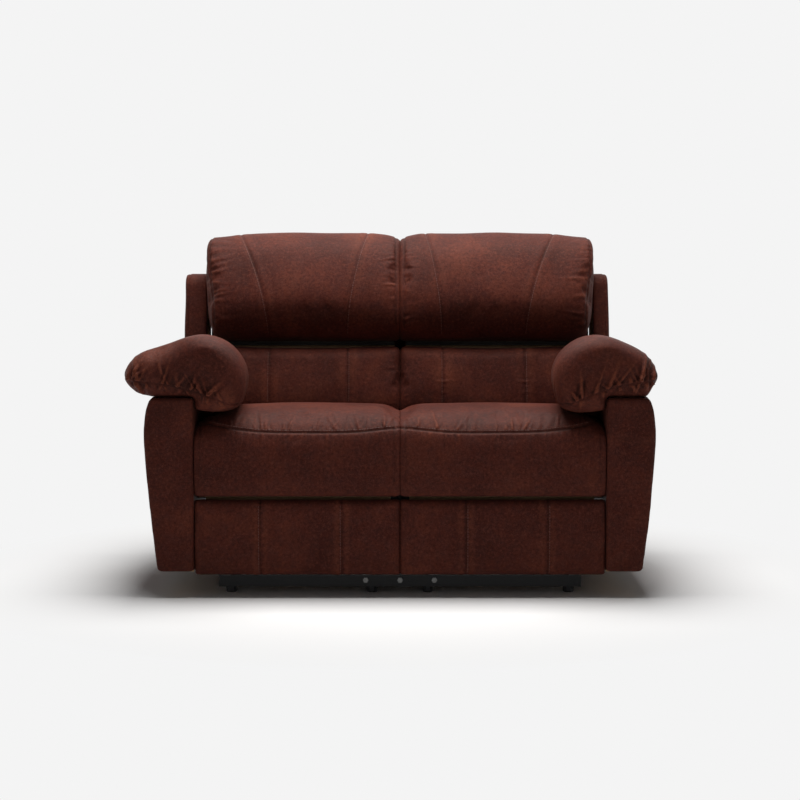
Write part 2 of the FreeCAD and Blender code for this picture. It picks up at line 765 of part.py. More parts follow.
def arm_panels():
    """Padded outer side with the hole for the handle cup, inner cover and rear cover."""
    front, rear = ARM_FRONT_DEPTH, ARM_REAR - ARM_REAR_COVER
    lining = arm_slab(front, rear, ARM_FOOT_X - PANEL_REACH, OUTER_PANEL_THICK)
    outer = arm_slab(front, rear, ARM_FOOT_X - PANEL_REACH, 0).cut(lining)
    outer = outer.cut(cup_prism(CUP_LENGTH / 2 - CUP_RIM + SOFT_GAP, -CUP_DEPTH, 20))
    outer = outer.cut(cup_prism(CUP_LENGTH / 2 + SOFT_GAP, 0, 20))
    inner = box(ARM_IN, ARM_IN + COVER_THICK, front, rear, ARM_FOOT, ARM_TOP)
    for y in ARM_BOLT_Y:
        inner = inner.cut(arm_bolt_hole(y))
    back = arm_slab(rear, ARM_REAR, ARM_IN, 0)
    return [outer, inner, back]


def arm_front():
    """Upholstered front of the arm, crowned by a bevel all round."""
    sections = [arm_profile(ARM_FRONT_DEPTH, ARM_IN, 0), arm_profile(0.0, ARM_IN, 0)]
    small = outline(
        at_y(-6.0),
        (ARM_IN + 6, ARM_FOOT + 5),
        (ARM_FOOT_X - 7, ARM_FOOT + 5),
        ((ARM_FOOT_X + 12, (ARM_FOOT + ARM_WIDE_Z) / 2), (ARM_WIDE_X - 7, ARM_WIDE_Z)),
        ((ARM_WIDE_X - 9, (ARM_WIDE_Z + ARM_TOP) / 2 + 10), (ARM_TOP_X - 7, ARM_TOP - 1)),
        (ARM_IN + 6, ARM_TOP - 1),
    )
    return loft(sections + [small])


def arm_bolts():
    grip = ARM_IN + COVER_THICK + INNER_BOARD - BAY_OUT
    return [hex_bolt(V(BAY_OUT, y, ARM_BOLT_Z), V(1, 0, 0), grip, BOLT_HEAD_RADIUS) for y in ARM_BOLT_Y]


def pad_place(y, share, back):
    """Shrinks the pillow about the arm's inner edge; back is 1 where it is narrowest and lowest."""
    floor = ARM_TOP + SOFT_GAP
    ledge = ARM_IN - SOFT_GAP
    inward = share * (1 - (1 - PAD_REAR_REACH) * back)
    upward = share * (1 - (1 - PAD_REAR_RISE) * back)

    def place(x, z):
        sideways = inward if x < ledge else share
        return V(ledge + sideways * (x - ledge), y, floor + upward * (z - floor))

    return place


def pad_section(y, share, back):
    """Arm pillow seen from the front: it laps over the inner edge of the arm and hangs down inside."""
    floor = ARM_TOP + SOFT_GAP
    ledge = ARM_IN - SOFT_GAP
    inner, tip, top, drape = PAD_INNER_X, PAD_TIP_X, PAD_TOP, PAD_DRAPE_Z
    middle_x = (inner + tip) / 2 - 15
    return outline(
        pad_place(y, share, back),
        (ARM_TOP_X, floor),
        (ledge, floor),
        (ledge, drape),
        ((ledge - 66, drape + 1), (inner + 20, drape + 20)),
        ((inner, PAD_TIP_Z - 24), (inner + 6, PAD_TIP_Z + 38)),
        ((inner + PAD_CROWN[0], top - PAD_CROWN[2] / 2), (middle_x, top)),
        ((middle_x + PAD_CROWN[1], top - PAD_CROWN[2]), (tip - 3, PAD_TIP_Z + 8)),
        ((tip - 12, PAD_TIP_Z - 36), (ARM_TOP_X, floor)),
    )


def arm_pad():
    """Pillow lofted from its rounded front to where the back begins, and the tail beside the back."""
    low, rolled, full = [PAD_FRONT + run for run in PAD_ROLL]
    soft, tight = [PAD_WAIST - run for run in PAD_WAIST_ROLL]
    stops = [(PAD_FRONT, 0.66, 0.0), (low, 0.83, 0.0), (rolled, 0.95, 0.0), (full, 1.0, 0.0),
             (PAD_FRONT + PAD_MID, 1.0, 0.5), (soft, 0.99, 0.94), (tight, 0.95, 1.0), (PAD_WAIST, 0.86, 1.0)]
    return [loft([pad_section(*stop) for stop in stops]), pad_tail()]


def pad_tail():
    """Rear end of the arm top, narrow enough to pass the back."""
    floor = ARM_TOP + SOFT_GAP
    inner = ARM_IN + 12
    side = PAD_TIP_X - 16
    top = PAD_TOP - 26

    def section(y, share):
        return outline(
            drawn_in(at_y(y), ((inner + side) / 2, floor), share),
            (ARM_TOP_X, floor),
            (inner, floor),
            (inner + 2, top - 50),
            ((inner + 16, top - 10), (inner + 52, top)),
            ((side - 32, top - 40), (side, PAD_TIP_Z)),
            ((side - 6, PAD_TIP_Z - 30), (ARM_TOP_X, floor)),
        )

    stops = [(PAD_WAIST + SOFT_GAP, 1.0), (PAD_REAR - PAD_ROLL[1], 0.96), (PAD_REAR, 0.82)]
    return loft([section(*stop) for stop in stops])


# Release handle

def cup_prism(half_length, depth, proud):
    """Oval plug across the arm's outer side, from depth below its face to proud above it."""
    radius = half_length - (CUP_LENGTH - CUP_HEIGHT) / 2
    reach = (CUP_LENGTH - CUP_HEIGHT) / 2
    return eye_bar(ARM_WIDE_X + depth, ARM_WIDE_X + proud, (CUP_Y - reach, ARM_WIDE_Z),
                   (CUP_Y + reach, ARM_WIDE_Z), radius)


def lever_axis():
    return ARM_WIDE_X - 4.0, CUP_Y - CUP_LENGTH / 2 + CUP_RIM + 20.0


def lever_half_height():
    return CUP_HEIGHT / 2 - CUP_RIM - 8.0


def lever_pin_reach():
    """How far each stub pin runs from the cup's middle into its lug."""
    return lever_half_height() + LEVER_PIN_GRIP


def handle_cup():
    rim = cup_prism(CUP_LENGTH / 2, 0, CUP_WALL)
    body = cup_prism(CUP_LENGTH / 2 - CUP_RIM, -CUP_DEPTH, CUP_WALL)
    hollow = cup_prism(CUP_LENGTH / 2 - CUP_RIM - CUP_WALL, -CUP_DEPTH + CUP_WALL, CUP_WALL + 1)
    cup = fused(rim, body).cut(hollow)
    x, y = lever_axis()
    half = lever_half_height()
    lugs = []
    for sign in (1, -1):
        low = ARM_WIDE_Z + sign * (half + FACE_CLEARANCE)
        high = ARM_WIDE_Z + sign * (CUP_HEIGHT / 2 - CUP_RIM)
        z0, z1 = min(low, high), max(low, high)
        lugs.append(box(x - CUP_DEPTH + 6, x + 5.5, y - 5.5, y + 5.5, z0, z1))
    inside = cup_prism(CUP_LENGTH / 2 - CUP_RIM - CUP_WALL / 2, -CUP_DEPTH + CUP_WALL / 2, CUP_WALL)
    cup = fused(cup, *[lug.common(inside) for lug in lugs])
    reach = lever_pin_reach() + FACE_CLEARANCE
    clear = (LEVER_PIN_RADIUS + PIN_CLEARANCE) / math.cos(math.pi / PIN_SIDES)
    return cup.cut(polygon(V(x, y, ARM_WIDE_Z - reach), V(0, 0, 2 * reach), clear, PIN_SIDES))


def release_lever():
    """Finger flap with its hinge barrel and the stub pins that turn in the cup."""
    x, y = lever_axis()
    half = lever_half_height()
    low = ARM_WIDE_Z - half
    flap = box(x - LEVER_THICK / 2, x + LEVER_THICK / 2, y, y + LEVER_LENGTH, low, low + 2 * half)
    tip_edges = [edge for edge in flap.Edges if abs(edge.BoundBox.YMin - y - LEVER_LENGTH) < 0.01
                 and abs(edge.BoundBox.YMax - y - LEVER_LENGTH) < 0.01 and edge.BoundBox.XLength > 1]
    flap = flap.makeChamfer(6.0, tip_edges)
    barrel = polygon(V(x, y, low), V(0, 0, 2 * half), 5.0, PIN_SIDES)
    tip = y + LEVER_LENGTH
    lip = box(x - LEVER_THICK / 2 - 4, x, tip - 14, tip - 9, low + 8, low + 2 * half - 8)
    reach = lever_pin_reach()
    pin = polygon(V(x, y, ARM_WIDE_Z - reach), V(0, 0, 2 * reach), LEVER_PIN_RADIUS, PIN_SIDES)
    return fused(flap, barrel, lip, pin)


def make_arms():
    save_pair("arm_frame", arm_boards())
    save_pair("arm_panels", arm_panels())
    save_pair("arm_front", [arm_front()])
    save_pair("arm_pad", arm_pad())
    save_all("arm_bolts", arm_bolts())
    save_pair("handle_cup", [handle_cup()])
    save_pair("release_lever", [release_lever()])


# Back, drawn upright about its hinge and then leaned

def lean_back(solids):
    leaned = []
    for solid in solids:
        solid = solid.copy()
        solid.rotate(V(0, 0, 0), V(1, 0, 0), -BACK_LEAN)
        solid.translate(V(0, HINGE_Y, HINGE_Z))
        leaned.append(solid)
    return leaned


def hinge_sides():
    """Face of the seat's side board and the direction into the seat, for each hinge."""
    return ((BAY_IN, 1.0), (BAY_OUT, -1.0))


def fixed_hinge_plates():
    plates = []
    for x, side in hinge_sides():
        plate = eye_bar(x, x + side * HINGE_PLATE, (FRAME_REAR - HINGE_REACH, ARM_BOLT_Z), (HINGE_Y, HINGE_Z),
                        HINGE_EYE_RADIUS)
        hole = bore_x(x - CUT_REACH, x + CUT_REACH, HINGE_Y, HINGE_Z, HINGE_PIN_RADIUS)
        plates.append(plate.cut(hole))
    return plates


def hinge_pins():
    pins = []
    for x, side in hinge_sides():
        inner = x + side * HINGE_PLATE
        tip = x - side * (HINGE_PLATE - FACE_CLEARANCE)
        pins.append(fused(
            pin_x(tip, inner, HINGE_Y, HINGE_Z, HINGE_PIN_RADIUS),
            hexagon(V(inner, HINGE_Y, HINGE_Z), V(side * PLATE_THICK, 0, 0), 1.8 * HINGE_PIN_RADIUS),
        ))
    return pins


def moving_hinge_plates():
    plates = []
    for x, side in hinge_sides():
        near = x - side * FACE_CLEARANCE
        far = x - side * HINGE_PLATE
        plate = eye_bar(near, far, (0, 0), (POST_DEPTH / 2, BRACKET_REACH), HINGE_EYE_RADIUS)
        plate = plate.cut(bore_x(x - CUT_REACH, x + CUT_REACH, 0, 0, HINGE_PIN_RADIUS))
        plates.append(plate)
    return plates


def back_frame():
    """Posts, cross rails and the board that carries the side wing."""
    posts = []
    for x, side in hinge_sides():
        face = x - side * HINGE_PLATE
        post = box(*sorted((face, face - side * POST_WIDTH)), 0, POST_DEPTH, POST_FOOT, POST_TOP)
        posts.append(post)
    left = BAY_IN - HINGE_PLATE
    right = BAY_OUT + HINGE_PLATE
    foot, *upper = rail_levels()
    rails = [box(BAY_IN, BAY_OUT, RAIL_FRONT, RAIL_REAR, foot, foot + RAIL_HEIGHT)]
    rails += [box(left, right, RAIL_FRONT, RAIL_REAR, z, z + RAIL_HEIGHT) for z in upper]
    stubs = [box(right + POST_WIDTH, WING_INNER_X, STUB_FRONT, RAIL_REAR, z, z + RAIL_HEIGHT)
             for z in WING_STUBS]
    wing = box(WING_INNER_X, WING_INNER_X + WING_BOARD, WING_BOARD_FRONT, POST_DEPTH, WING_BOARD_FOOT,
               WING_BOARD_TOP)
    return posts + rails + stubs + [wing]


def rail_levels():
    middle_level = (LUMBAR_TOP + PILLOW_FOOT - RAIL_HEIGHT) / 2
    return (RAIL_LOW, middle_level, POST_TOP - RAIL_HEIGHT)


def back_straps():
    start = BAY_IN - HINGE_PLATE - POST_WIDTH
    end = BAY_OUT + HINGE_PLATE + POST_WIDTH
    levels = strap_places(BACK_STRAP_FOOT, POST_TOP - RAIL_HEIGHT, BACK_STRAPS)
    return [box(start, end, -STRAP_THICK, 0, z, z + STRAP_WIDTH) for z in levels]


def shell_section(x, inset):
    front = POST_DEPTH + SOFT_GAP
    rear = front + SHELL_THICK - inset
    return outline(
        at_x(x),
        (front, SHELL_FOOT),
        (rear - 6, SHELL_FOOT),
        ((rear + 6, (SHELL_FOOT + SHELL_TOP) / 2), (rear - 2, SHELL_TOP - 20)),
        ((rear - 8, SHELL_TOP - 5), (rear - 18, SHELL_TOP)),
        (front, SHELL_TOP),
    )


def wing_section(x, inset):
    rear = POST_DEPTH + SHELL_THICK
    return outline(
        at_x(x),
        (2 + inset, -8 + inset),
        (WING_FRONT + inset, 250),
        (WING_FRONT + inset, WING_TOP - 48),
        ((WING_FRONT + 8 + inset, WING_TOP - 14 - inset), (WING_FRONT + 40, WING_TOP - inset)),
        (rear - 20, WING_TOP + 2 - inset),
        ((rear - 7 - inset, WING_TOP - 6 - inset), (rear - inset, WING_TOP - 30)),
        (rear - inset, -8 + inset),
    )


def back_shell():
    """Rear panel and the padded side wing that wraps its board."""
    stops = [(SEAT_IN + 0.5, 9.0), (SEAT_IN + 26, 1.0), ((SEAT_IN + WING_INNER_X) / 2, -3.0),
             (WING_INNER_X - 28, 1.0), (WING_INNER_X - 2, 9.0)]
    panel = loft([shell_section(*stop) for stop in stops])
    wing = loft([wing_section(WING_INNER_X, 0.0), wing_section(WING_OUTER_X - 10, 0.0),
                 wing_section(WING_OUTER_X - 3, 3.0), wing_section(WING_OUTER_X, 9.0)])
    pocket = box(WING_INNER_X - 1, WING_INNER_X + WING_BOARD + SOFT_GAP, WING_BOARD_FRONT - SOFT_GAP,
                 POST_DEPTH + SOFT_GAP, WING_BOARD_FOOT - SOFT_GAP, WING_BOARD_TOP + SOFT_GAP)
    return [panel, wing.cut(pocket)]


def pillow_section(x, share):
    """Head pillow cut front to back: full at its foot, rolled over the top rail."""
    face = -STRAP_THICK - SOFT_GAP
    seat = POST_TOP + SOFT_GAP
    rear = POST_DEPTH + SOFT_GAP
    bulge = PILLOW_BULGE
    return outline(
        drawn_in(at_x(x), (face, seat), share),
        (face, PILLOW_FOOT),
        ((-0.5 * bulge, PILLOW_FOOT - 18), (-0.98 * bulge, PILLOW_FOOT + 34)),
        ((-bulge, PILLOW_FOOT + 0.92 * bulge), (-0.8 * bulge, PILLOW_TOP - 0.44 * bulge)),
        ((-0.56 * bulge, PILLOW_TOP - 20), (-0.12 * bulge, PILLOW_TOP)),
        ((36, PILLOW_TOP - 10), (rear, PILLOW_TOP - 60)),
        (rear, seat),
        (face, seat),
    )


def lumbar_section(x, share):
    face = -STRAP_THICK - SOFT_GAP
    level = (LUMBAR_FOOT + LUMBAR_TOP) / 2
    bulge = LUMBAR_BULGE
    return outline(
        drawn_in(at_x(x), (face, level), share),
        (face, LUMBAR_FOOT),
        ((-0.56 * bulge, LUMBAR_FOOT + 6), (-bulge + 8, LUMBAR_FOOT + 42)),
        ((-bulge, level + 20), (-bulge + 16, LUMBAR_TOP - 18)),
        ((-0.6 * bulge, LUMBAR_TOP - 3), (face, LUMBAR_TOP)),
    )


def make_back():
    save_pair("hinge_plates", fixed_hinge_plates())
    save_pair("back_brackets", lean_back(moving_hinge_plates()))
    save_pair("back_frame", lean_back(back_frame()))
    save_pair("back_webbing", lean_back(back_straps()))
    save_pair("back_shell", lean_back(back_shell()))
    pillow = cushion_stops(WING_INNER_X - 14, PILLOW_SEAMS, 0.9, 0.94)
    lumbar = cushion_stops(SEAT_OUT - 5, LUMBAR_SEAMS, 0.88, 0.94)
    save_pair("head_pillow", lean_back([loft([pillow_section(*stop) for stop in pillow])]))
    save_pair("lumbar_cushion", lean_back([loft([lumbar_section(*stop) for stop in lumbar])]))


def cushion_stops(end, seams, soft, groove):
    """Place and share of each section across a back cushion, drawn in at its ends and its seams."""
    edge = SEAT_IN + 0.5
    roll = 20.0
    return [
        (edge, soft),
        (edge + roll, (1 + soft) / 2 + 0.02),
        ((edge + seams[0]) / 2, 1.0),
        (seams[0], groove),
        (sum(seams) / 2, 1.0),
        (seams[1], groove),
        ((end + seams[1]) / 2, 1.0),
        (end - roll, (1 + soft) / 2 + 0.02),
        (end, soft),
    ]


def main():
    os.makedirs("parts", exist_ok=True)
    make_base()
    make_links()
    make_footrest()
    make_seat()
    make_arms()
    make_back()


main()
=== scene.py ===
import json
import math

import bmesh
import bpy
import numpy as np
from mathutils import Matrix, Vector
from mathutils.bvhtree import BVHTree

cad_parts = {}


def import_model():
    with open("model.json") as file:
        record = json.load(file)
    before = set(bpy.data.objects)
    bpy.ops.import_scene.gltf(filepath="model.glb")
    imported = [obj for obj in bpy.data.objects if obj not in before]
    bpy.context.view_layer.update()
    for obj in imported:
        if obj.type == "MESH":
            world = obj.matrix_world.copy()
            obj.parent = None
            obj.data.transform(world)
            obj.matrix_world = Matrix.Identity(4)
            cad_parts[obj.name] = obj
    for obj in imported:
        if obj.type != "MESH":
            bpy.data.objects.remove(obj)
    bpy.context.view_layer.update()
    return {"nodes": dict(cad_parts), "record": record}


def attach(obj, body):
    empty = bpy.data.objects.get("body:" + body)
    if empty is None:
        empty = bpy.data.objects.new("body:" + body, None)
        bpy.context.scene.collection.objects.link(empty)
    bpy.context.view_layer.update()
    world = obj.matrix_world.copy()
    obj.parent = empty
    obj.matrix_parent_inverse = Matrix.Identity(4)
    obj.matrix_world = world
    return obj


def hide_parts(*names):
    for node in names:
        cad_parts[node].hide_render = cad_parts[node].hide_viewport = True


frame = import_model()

# Millimetres as the part is drawn: Y runs rearward from the front plane of the seats.
FRONT_TO_CENTRE = 445.0
HINGE_Y = 650.0
HINGE_Z = 300.0
BACK_LEAN = math.radians(14.0)

# Camera, from the photograph
CAMERA_HEIGHT = 950.0
CAMERA_DISTANCE = 5000.0
CAMERA_TILT = math.radians(4.55)
FOCAL_PIXELS = 1821.0
PHOTO_WIDTH = 800.0
SENSOR_WIDTH = 36.0

# Light and surroundings, in metres and watts
PALE = (0.905, 0.905, 0.905)
AMBIENT = 0.10
FLOOR_GREY = 0.83
FLOOR_HALF = 14.0
FLOOR_FADE = (0.78, 1.35)
LAMP_PLACE = (0.0, 0.05, 3.0)
LAMP_TARGET = (0.0, 0.05, 0.4)
LAMP_SIZE = 1.7
LAMP_POWER = 132.0
LAMP_COLOUR = (1.0, 0.985, 0.97)

# Seats
SEAT_IN = 2.0
SEAT_OUT = 568.0
ARM_IN = 571.0
CUSHION_FOOT = 281.0
SEAT_FLOOR = 334.4
APRON = 61.6
SEAT_REAR = 566.0
SEAT_CROWN = 508.0

# Footrests
FOOTREST_FOOT = 60.0
FOOTREST_TOP = 279.0
FOOTREST_BACK = 49.6
FOOTREST_SEAMS = (0.32, 0.72)

# Dust cloth between the front boards of the two seat boxes
CLOTH_Y = 63.0
CLOTH_HALF = 25.9
CLOTH_LOW = 251.0
CLOTH_HIGH = 331.0
CLOTH_COLUMNS = 17
CLOTH_ROWS = 15

# Arms
ARM_FOOT = 73.0
ARM_TOP = 558.0
ARM_FRONT = -6.0
ARM_REAR = 636.0
PAD_FLOOR = 558.4
PAD_FRONT = -25.0
PAD_WAIST = 545.0
PAD_REAR = 640.0
PAD_TIP = {"right": 722.0, "left": 770.0}
TAIL_SIDE = 722.0
BOLT_ROOM_Y = (160.0, 440.0)
BOLT_ROOM_Z = (293.0, 303.0)

# Finger cup in the arm's outer side
CUP_Y = 150.0
CUP_Z = 430.0
CUP_REACH = 22.0
CUP_RADIUS = 38.0
CUP_RIM = 9.0
CUP_DEPTH = 650.0
RIM_DEPTH = 705.8
CUT_OUTSIDE = 760.0
OVAL_POINTS = 48

# Backs, drawn upright about the hinge
BACK_FACE = -2.4
POST_TOP = 641.4
BACK_REAR = 72.4
PILLOW_OUT = 594.0
WING_IN = 606.0
WING_OUT = {"right": 656.0, "left": 676.0}
WING_BOARD = ((-20.8, 29.2), (72.8, 560.8))
WING_BOARD_THICK = 18.8

# Where left and right meet: in a wavy face, flatter where they move past each other
NEAR_TOUCH = 0.12
MEETING_WAVE = 1.6
MOVING_WAVE = 0.7
MEETING_LENGTH = 64.0
SPILL = 8.0
OVERALL_HALF = 800.0

# How finely the forms are drawn
MM = 0.001
VOXEL = 0.007
FINE_VOXEL = 0.006
RING_POINTS = 120
CORNER_STEPS = 12
ROLL_STEPS = 7
STATION_STEP = 12.0

# Cloth under pressure
SWELL_FRAMES = 20
SWELL_PRESSURE = 4.0

# Sewing
STITCH_LENGTH = 5.2
STITCH_GAP = 2.4
THREAD_WIDTH = 0.9

SIGN = {"right": 1.0, "left": -1.0}
MIRROR = Matrix.Scale(-1, 4, (1, 0, 0))


def world(x, y, z):
    return Vector((x * MM, (y - FRONT_TO_CENTRE) * MM, z * MM))


SEAT_TO_WORLD = Matrix.Translation((0, -FRONT_TO_CENTRE * MM, 0))
BACK_TO_WORLD = (Matrix.Translation((0, (HINGE_Y - FRONT_TO_CENTRE) * MM, HINGE_Z * MM))
                 @ Matrix.Rotation(-BACK_LEAN, 4, "X"))


# Outlines and skins

def rounded(corners, count=RING_POINTS):
    """Closed outline through corners given as (a, b, radius), evenly spaced."""
    points = []
    total = len(corners)
    for index, (a, b, radius) in enumerate(corners):
        here = np.array((a, b))
        before = np.array(corners[index - 1][:2])
        after = np.array(corners[(index + 1) % total][:2])
        reach_in = min(radius, 0.5 * np.linalg.norm(before - here))
        reach_out = min(radius, 0.5 * np.linalg.norm(after - here))
        start = here + (before - here) / np.linalg.norm(before - here) * reach_in
        end = here + (after - here) / np.linalg.norm(after - here) * reach_out
        for t in np.linspace(0, 1, CORNER_STEPS):
            points.append((1 - t) ** 2 * start + 2 * t * (1 - t) * here + t * t * end)
    return even(np.array(points), count)


def even(points, count):
    """Points at equal distances round a closed outline."""
    closed = np.vstack([points, points[:1]])
    steps = np.linalg.norm(np.diff(closed, axis=0), axis=1)
    run = np.concatenate([[0], np.cumsum(steps)])
    marks = np.linspace(0, run[-1], count, endpoint=False)
    return np.column_stack([np.interp(marks, run, closed[:, k]) for k in range(2)])


def inset(ring, amount):
    """The outline moved inwards by amount."""
    ahead = np.roll(ring, -1, axis=0)
    behind = np.roll(ring, 1, axis=0)
    along = ahead - behind
    along /= np.linalg.norm(along, axis=1)[:, None] + 1e-9
    area = np.sum(ring[:, 0] * ahead[:, 1] - ahead[:, 0] * ring[:, 1])
    inward = np.column_stack([-along[:, 1], along[:, 0]]) * (1 if area > 0 else -1)
    return ring + inward * amount


def pressed(piece, sign, outer, sway):
    """Flattens a cushion where it presses on its neighbours.

    Left and right meet in a wavy face, so that no light falls through between them.
    """
    points = coordinates(piece)
    wave = sway * np.sin(points[:, 1] / MM * 2 * math.pi / MEETING_LENGTH) * MM
    out = sign * (points[:, 0] - wave)
    out = np.maximum(out, NEAR_TOUCH * MM)
    points[:, 0] = np.clip(sign * out + wave, -outer * MM, outer * MM)
    set_coordinates(piece, points)


def stations(start, end, roll_start, roll_end):
    """Places along a cushion and how far its outline is drawn in there by the rolled ends."""
    places = []
    for angle in np.linspace(0, math.pi / 2, ROLL_STEPS):
        along_roll = roll_start * (1 - math.cos(angle))
        places.append((start + along_roll, roll_start * (1 - math.sin(angle))))
    count = max(2, int((end - start - roll_start - roll_end) / STATION_STEP))
    for place in np.linspace(start + roll_start, end - roll_end, count)[1:-1]:
        places.append((place, 0.0))
    for angle in np.linspace(math.pi / 2, 0, ROLL_STEPS):
        along_roll = roll_end * (1 - math.cos(angle))
        places.append((end - along_roll, roll_end * (1 - math.sin(angle))))
    return places


def add_object(name, data):
    made = bpy.data.objects.new(name, data)
    bpy.context.scene.collection.objects.link(made)
    return made


def skin(name, rings):
    """Closed mesh through rings of 3-D points in millimetres."""
    count = len(rings[0])
    vertices = [tuple(point * MM) for ring in rings for point in ring]
    faces = []
    for index in range(len(rings) - 1):
        for k in range(count):
            after = (k + 1) % count
            faces.append((index * count + k, index * count + after,
                          (index + 1) * count + after, (index + 1) * count + k))
    for ring_index in (0, len(rings) - 1):
        centre = len(vertices)
        vertices.append(tuple(np.mean(rings[ring_index], axis=0) * MM))
        for k in range(count):
            faces.append((ring_index * count + k, ring_index * count + (k + 1) % count, centre))
    mesh = bpy.data.meshes.new(name)
    mesh.from_pydata(vertices, [], faces)
    work = bmesh.new()
    work.from_mesh(mesh)
    bmesh.ops.recalc_face_normals(work, faces=work.faces)
    work.to_mesh(mesh)
    work.free()
    return add_object(name, mesh)


def across(name, start, end, roll_start, roll_end, section):
    """Cushion with its outlines side by side along X; section(x) gives (y, z) points."""
    rings = []
    for x, drawn in stations(start, end, roll_start, roll_end):
        ring = inset(section(x), drawn)
        rings.append(np.column_stack([np.full(len(ring), x), ring]))
    return skin(name, rings)


def along(name, start, end, roll_start, roll_end, section):
    """Cushion with its outlines one behind the other along Y; section(y) gives (x, z)."""
    rings = []
    for y, drawn in stations(start, end, roll_start, roll_end):
        ring = inset(section(y), drawn)
        rings.append(np.column_stack([ring[:, 0], np.full(len(ring), y), ring[:, 1]]))
    return skin(name, rings)


def applied(piece):
    """Replaces the mesh by what its modifiers make of it."""
    graph = bpy.context.evaluated_depsgraph_get()
    mesh = bpy.data.meshes.new_from_object(piece.evaluated_get(graph))
    old = piece.data
    piece.modifiers.clear()
    piece.data = mesh
    mesh.name = piece.name
    bpy.data.meshes.remove(old)


def remesh(piece, voxel=VOXEL):
    change = piece.modifiers.new("remesh", "REMESH")
    change.mode = "VOXEL"
    change.voxel_size = voxel
    applied(piece)


def vertex_values(mesh, field):
    flat = np.empty(len(mesh.vertices) * 3)
    mesh.vertices.foreach_get(field, flat)
    return flat.reshape(-1, 3)


def coordinates(piece):
    return vertex_values(piece.data, "co")


def normals(piece):
    return vertex_values(piece.data, "normal")


def set_coordinates(piece, points):
    piece.data.vertices.foreach_set("co", points.astype(np.float64).ravel())
    piece.data.update()


def smoothed(piece, rounds):
    change = piece.modifiers.new("smooth", "SMOOTH")
    change.iterations = rounds
    change.factor = 0.5
    applied(piece)


def swell(piece, free, cap):
    """Cloth under pressure: the cushion fills out where free is 1 and stays where it is 0.

    No point moves further than cap millimetres.
    """
    before = coordinates(piece)
    cloth = piece.modifiers.new("cloth", "CLOTH")
    cloth.settings.quality = 4
    cloth.settings.mass = 0.3
    cloth.settings.tension_stiffness = 25
    cloth.settings.compression_stiffness = 25
    cloth.settings.shear_stiffness = 8
    cloth.settings.bending_stiffness = 1.5
    cloth.settings.use_pressure = True
    cloth.settings.uniform_pressure_force = SWELL_PRESSURE
    cloth.settings.effector_weights.gravity = 0
    cloth.point_cache.frame_start = 1
    cloth.point_cache.frame_end = SWELL_FRAMES
    for frame_number in range(1, SWELL_FRAMES + 1):
        bpy.context.scene.frame_set(frame_number)
    graph = bpy.context.evaluated_depsgraph_get()
    after = vertex_values(piece.evaluated_get(graph).to_mesh(), "co")
    piece.evaluated_get(graph).to_mesh_clear()
    piece.modifiers.clear()
    bpy.context.scene.frame_set(1)
    move = after - before
    length = np.linalg.norm(move, axis=1)
    limit = cap * MM
    capped = limit * np.tanh(length / limit)
    scale = np.where(length > 1e-9, capped / np.maximum(length, 1e-9), 0)
    weight = free(before / MM, normals(piece))
    set_coordinates(piece, before + move * (scale * weight)[:, None])


def subdivide(piece):
    change = piece.modifiers.new("finer", "SUBSURF")
    change.levels = 1
    change.render_levels = 1
    applied(piece)


def push(piece, shape):
    """Moves the surface along its normals by shape(points, normals), in millimetres."""
    points = coordinates(piece)
    facing = normals(piece)
    amount = shape(points / MM, facing)
    set_coordinates(piece, points + facing * (amount * MM)[:, None])
    note_relief(piece, amount)


def note_relief(piece, amount):
    """Remembers raised and sunken places, which the leather's colour follows: lighter on raised
    places, as wear and painted highlight, and darker in sunken places, as painted shade.
    """
    layer = piece.data.attributes.get("relief")
    if layer is None:
        layer = piece.data.attributes.new("relief", "FLOAT", "POINT")
    held = np.zeros(len(piece.data.vertices))
    layer.data.foreach_get("value", held)
    layer.data.foreach_set("value", (held + amount).astype(np.float32))


# Relief, with all distances in millimetres

def bump(values, width):
    return np.exp(-(values / width) ** 2)


def step_up(values, low, high):
    t = np.clip((values - low) / (high - low), 0, 1)
    return t * t * (3 - 2 * t)


def gathers(run, away, seed, span, count, height, reach, width=5.0, slant=0.12):
    """Short folds that start at a seam, where away is 0, and die out within reach."""
    dice = np.random.default_rng(seed)
    relief = np.zeros(len(run))
    for _ in range(count):
        centre = dice.uniform(span[0], span[1])
        lean = dice.normal(0, slant)
        wide = width * dice.uniform(0.6, 1.5)
        long = reach * dice.uniform(0.4, 1.4)
        tall = height * dice.uniform(0.4, 1.3)
        here = run - centre - lean * away
        hollows = 0.55 * bump(here - 1.5 * wide, wide), 0.45 * bump(here + 1.5 * wide, wide)
        fold = bump(here, wide) - hollows[0] - hollows[1]
        relief += tall * fold * np.exp(-(away / long) ** 2)
    return relief


def ripples(a, b, seed, size, height):
    """Broad unevenness of a filled cover."""
    dice = np.random.default_rng(seed)
    relief = np.zeros(len(a))
    for _ in range(7):
        angle = dice.uniform(0, math.pi)
        length = size * dice.uniform(0.7, 1.8)
        phase = dice.uniform(0, 2 * math.pi)
        run = a * math.cos(angle) + b * math.sin(angle)
        relief += np.sin(run / length * 2 * math.pi + phase)
    return relief * height / 7


# Finishing a piece

def smooth_faces(mesh):
    for polygon in mesh.polygons:
        polygon.use_smooth = True


def finish_soft(piece, body, node, to_world):
    """Puts a filled piece in its place, in leather, riding on its body."""
    smooth_faces(piece.data)
    piece.data.transform(to_world)
    piece.data.update()
    piece.data.materials.clear()
    piece.data.materials.append(material("leather"))
    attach(piece, body)
    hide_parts(node)


def mirror(piece):
    """Turns a piece of the right side into one of the left side."""
    piece.data.transform(MIRROR)
    piece.data.flip_normals()


def flipped(piece, name):
    """Mirror image of a piece as a new piece."""
    twin = piece.copy()
    twin.data = piece.data.copy()
    twin.name = name
    twin.data.name = name
    mirror(twin)
    bpy.context.scene.collection.objects.link(twin)
    return twin


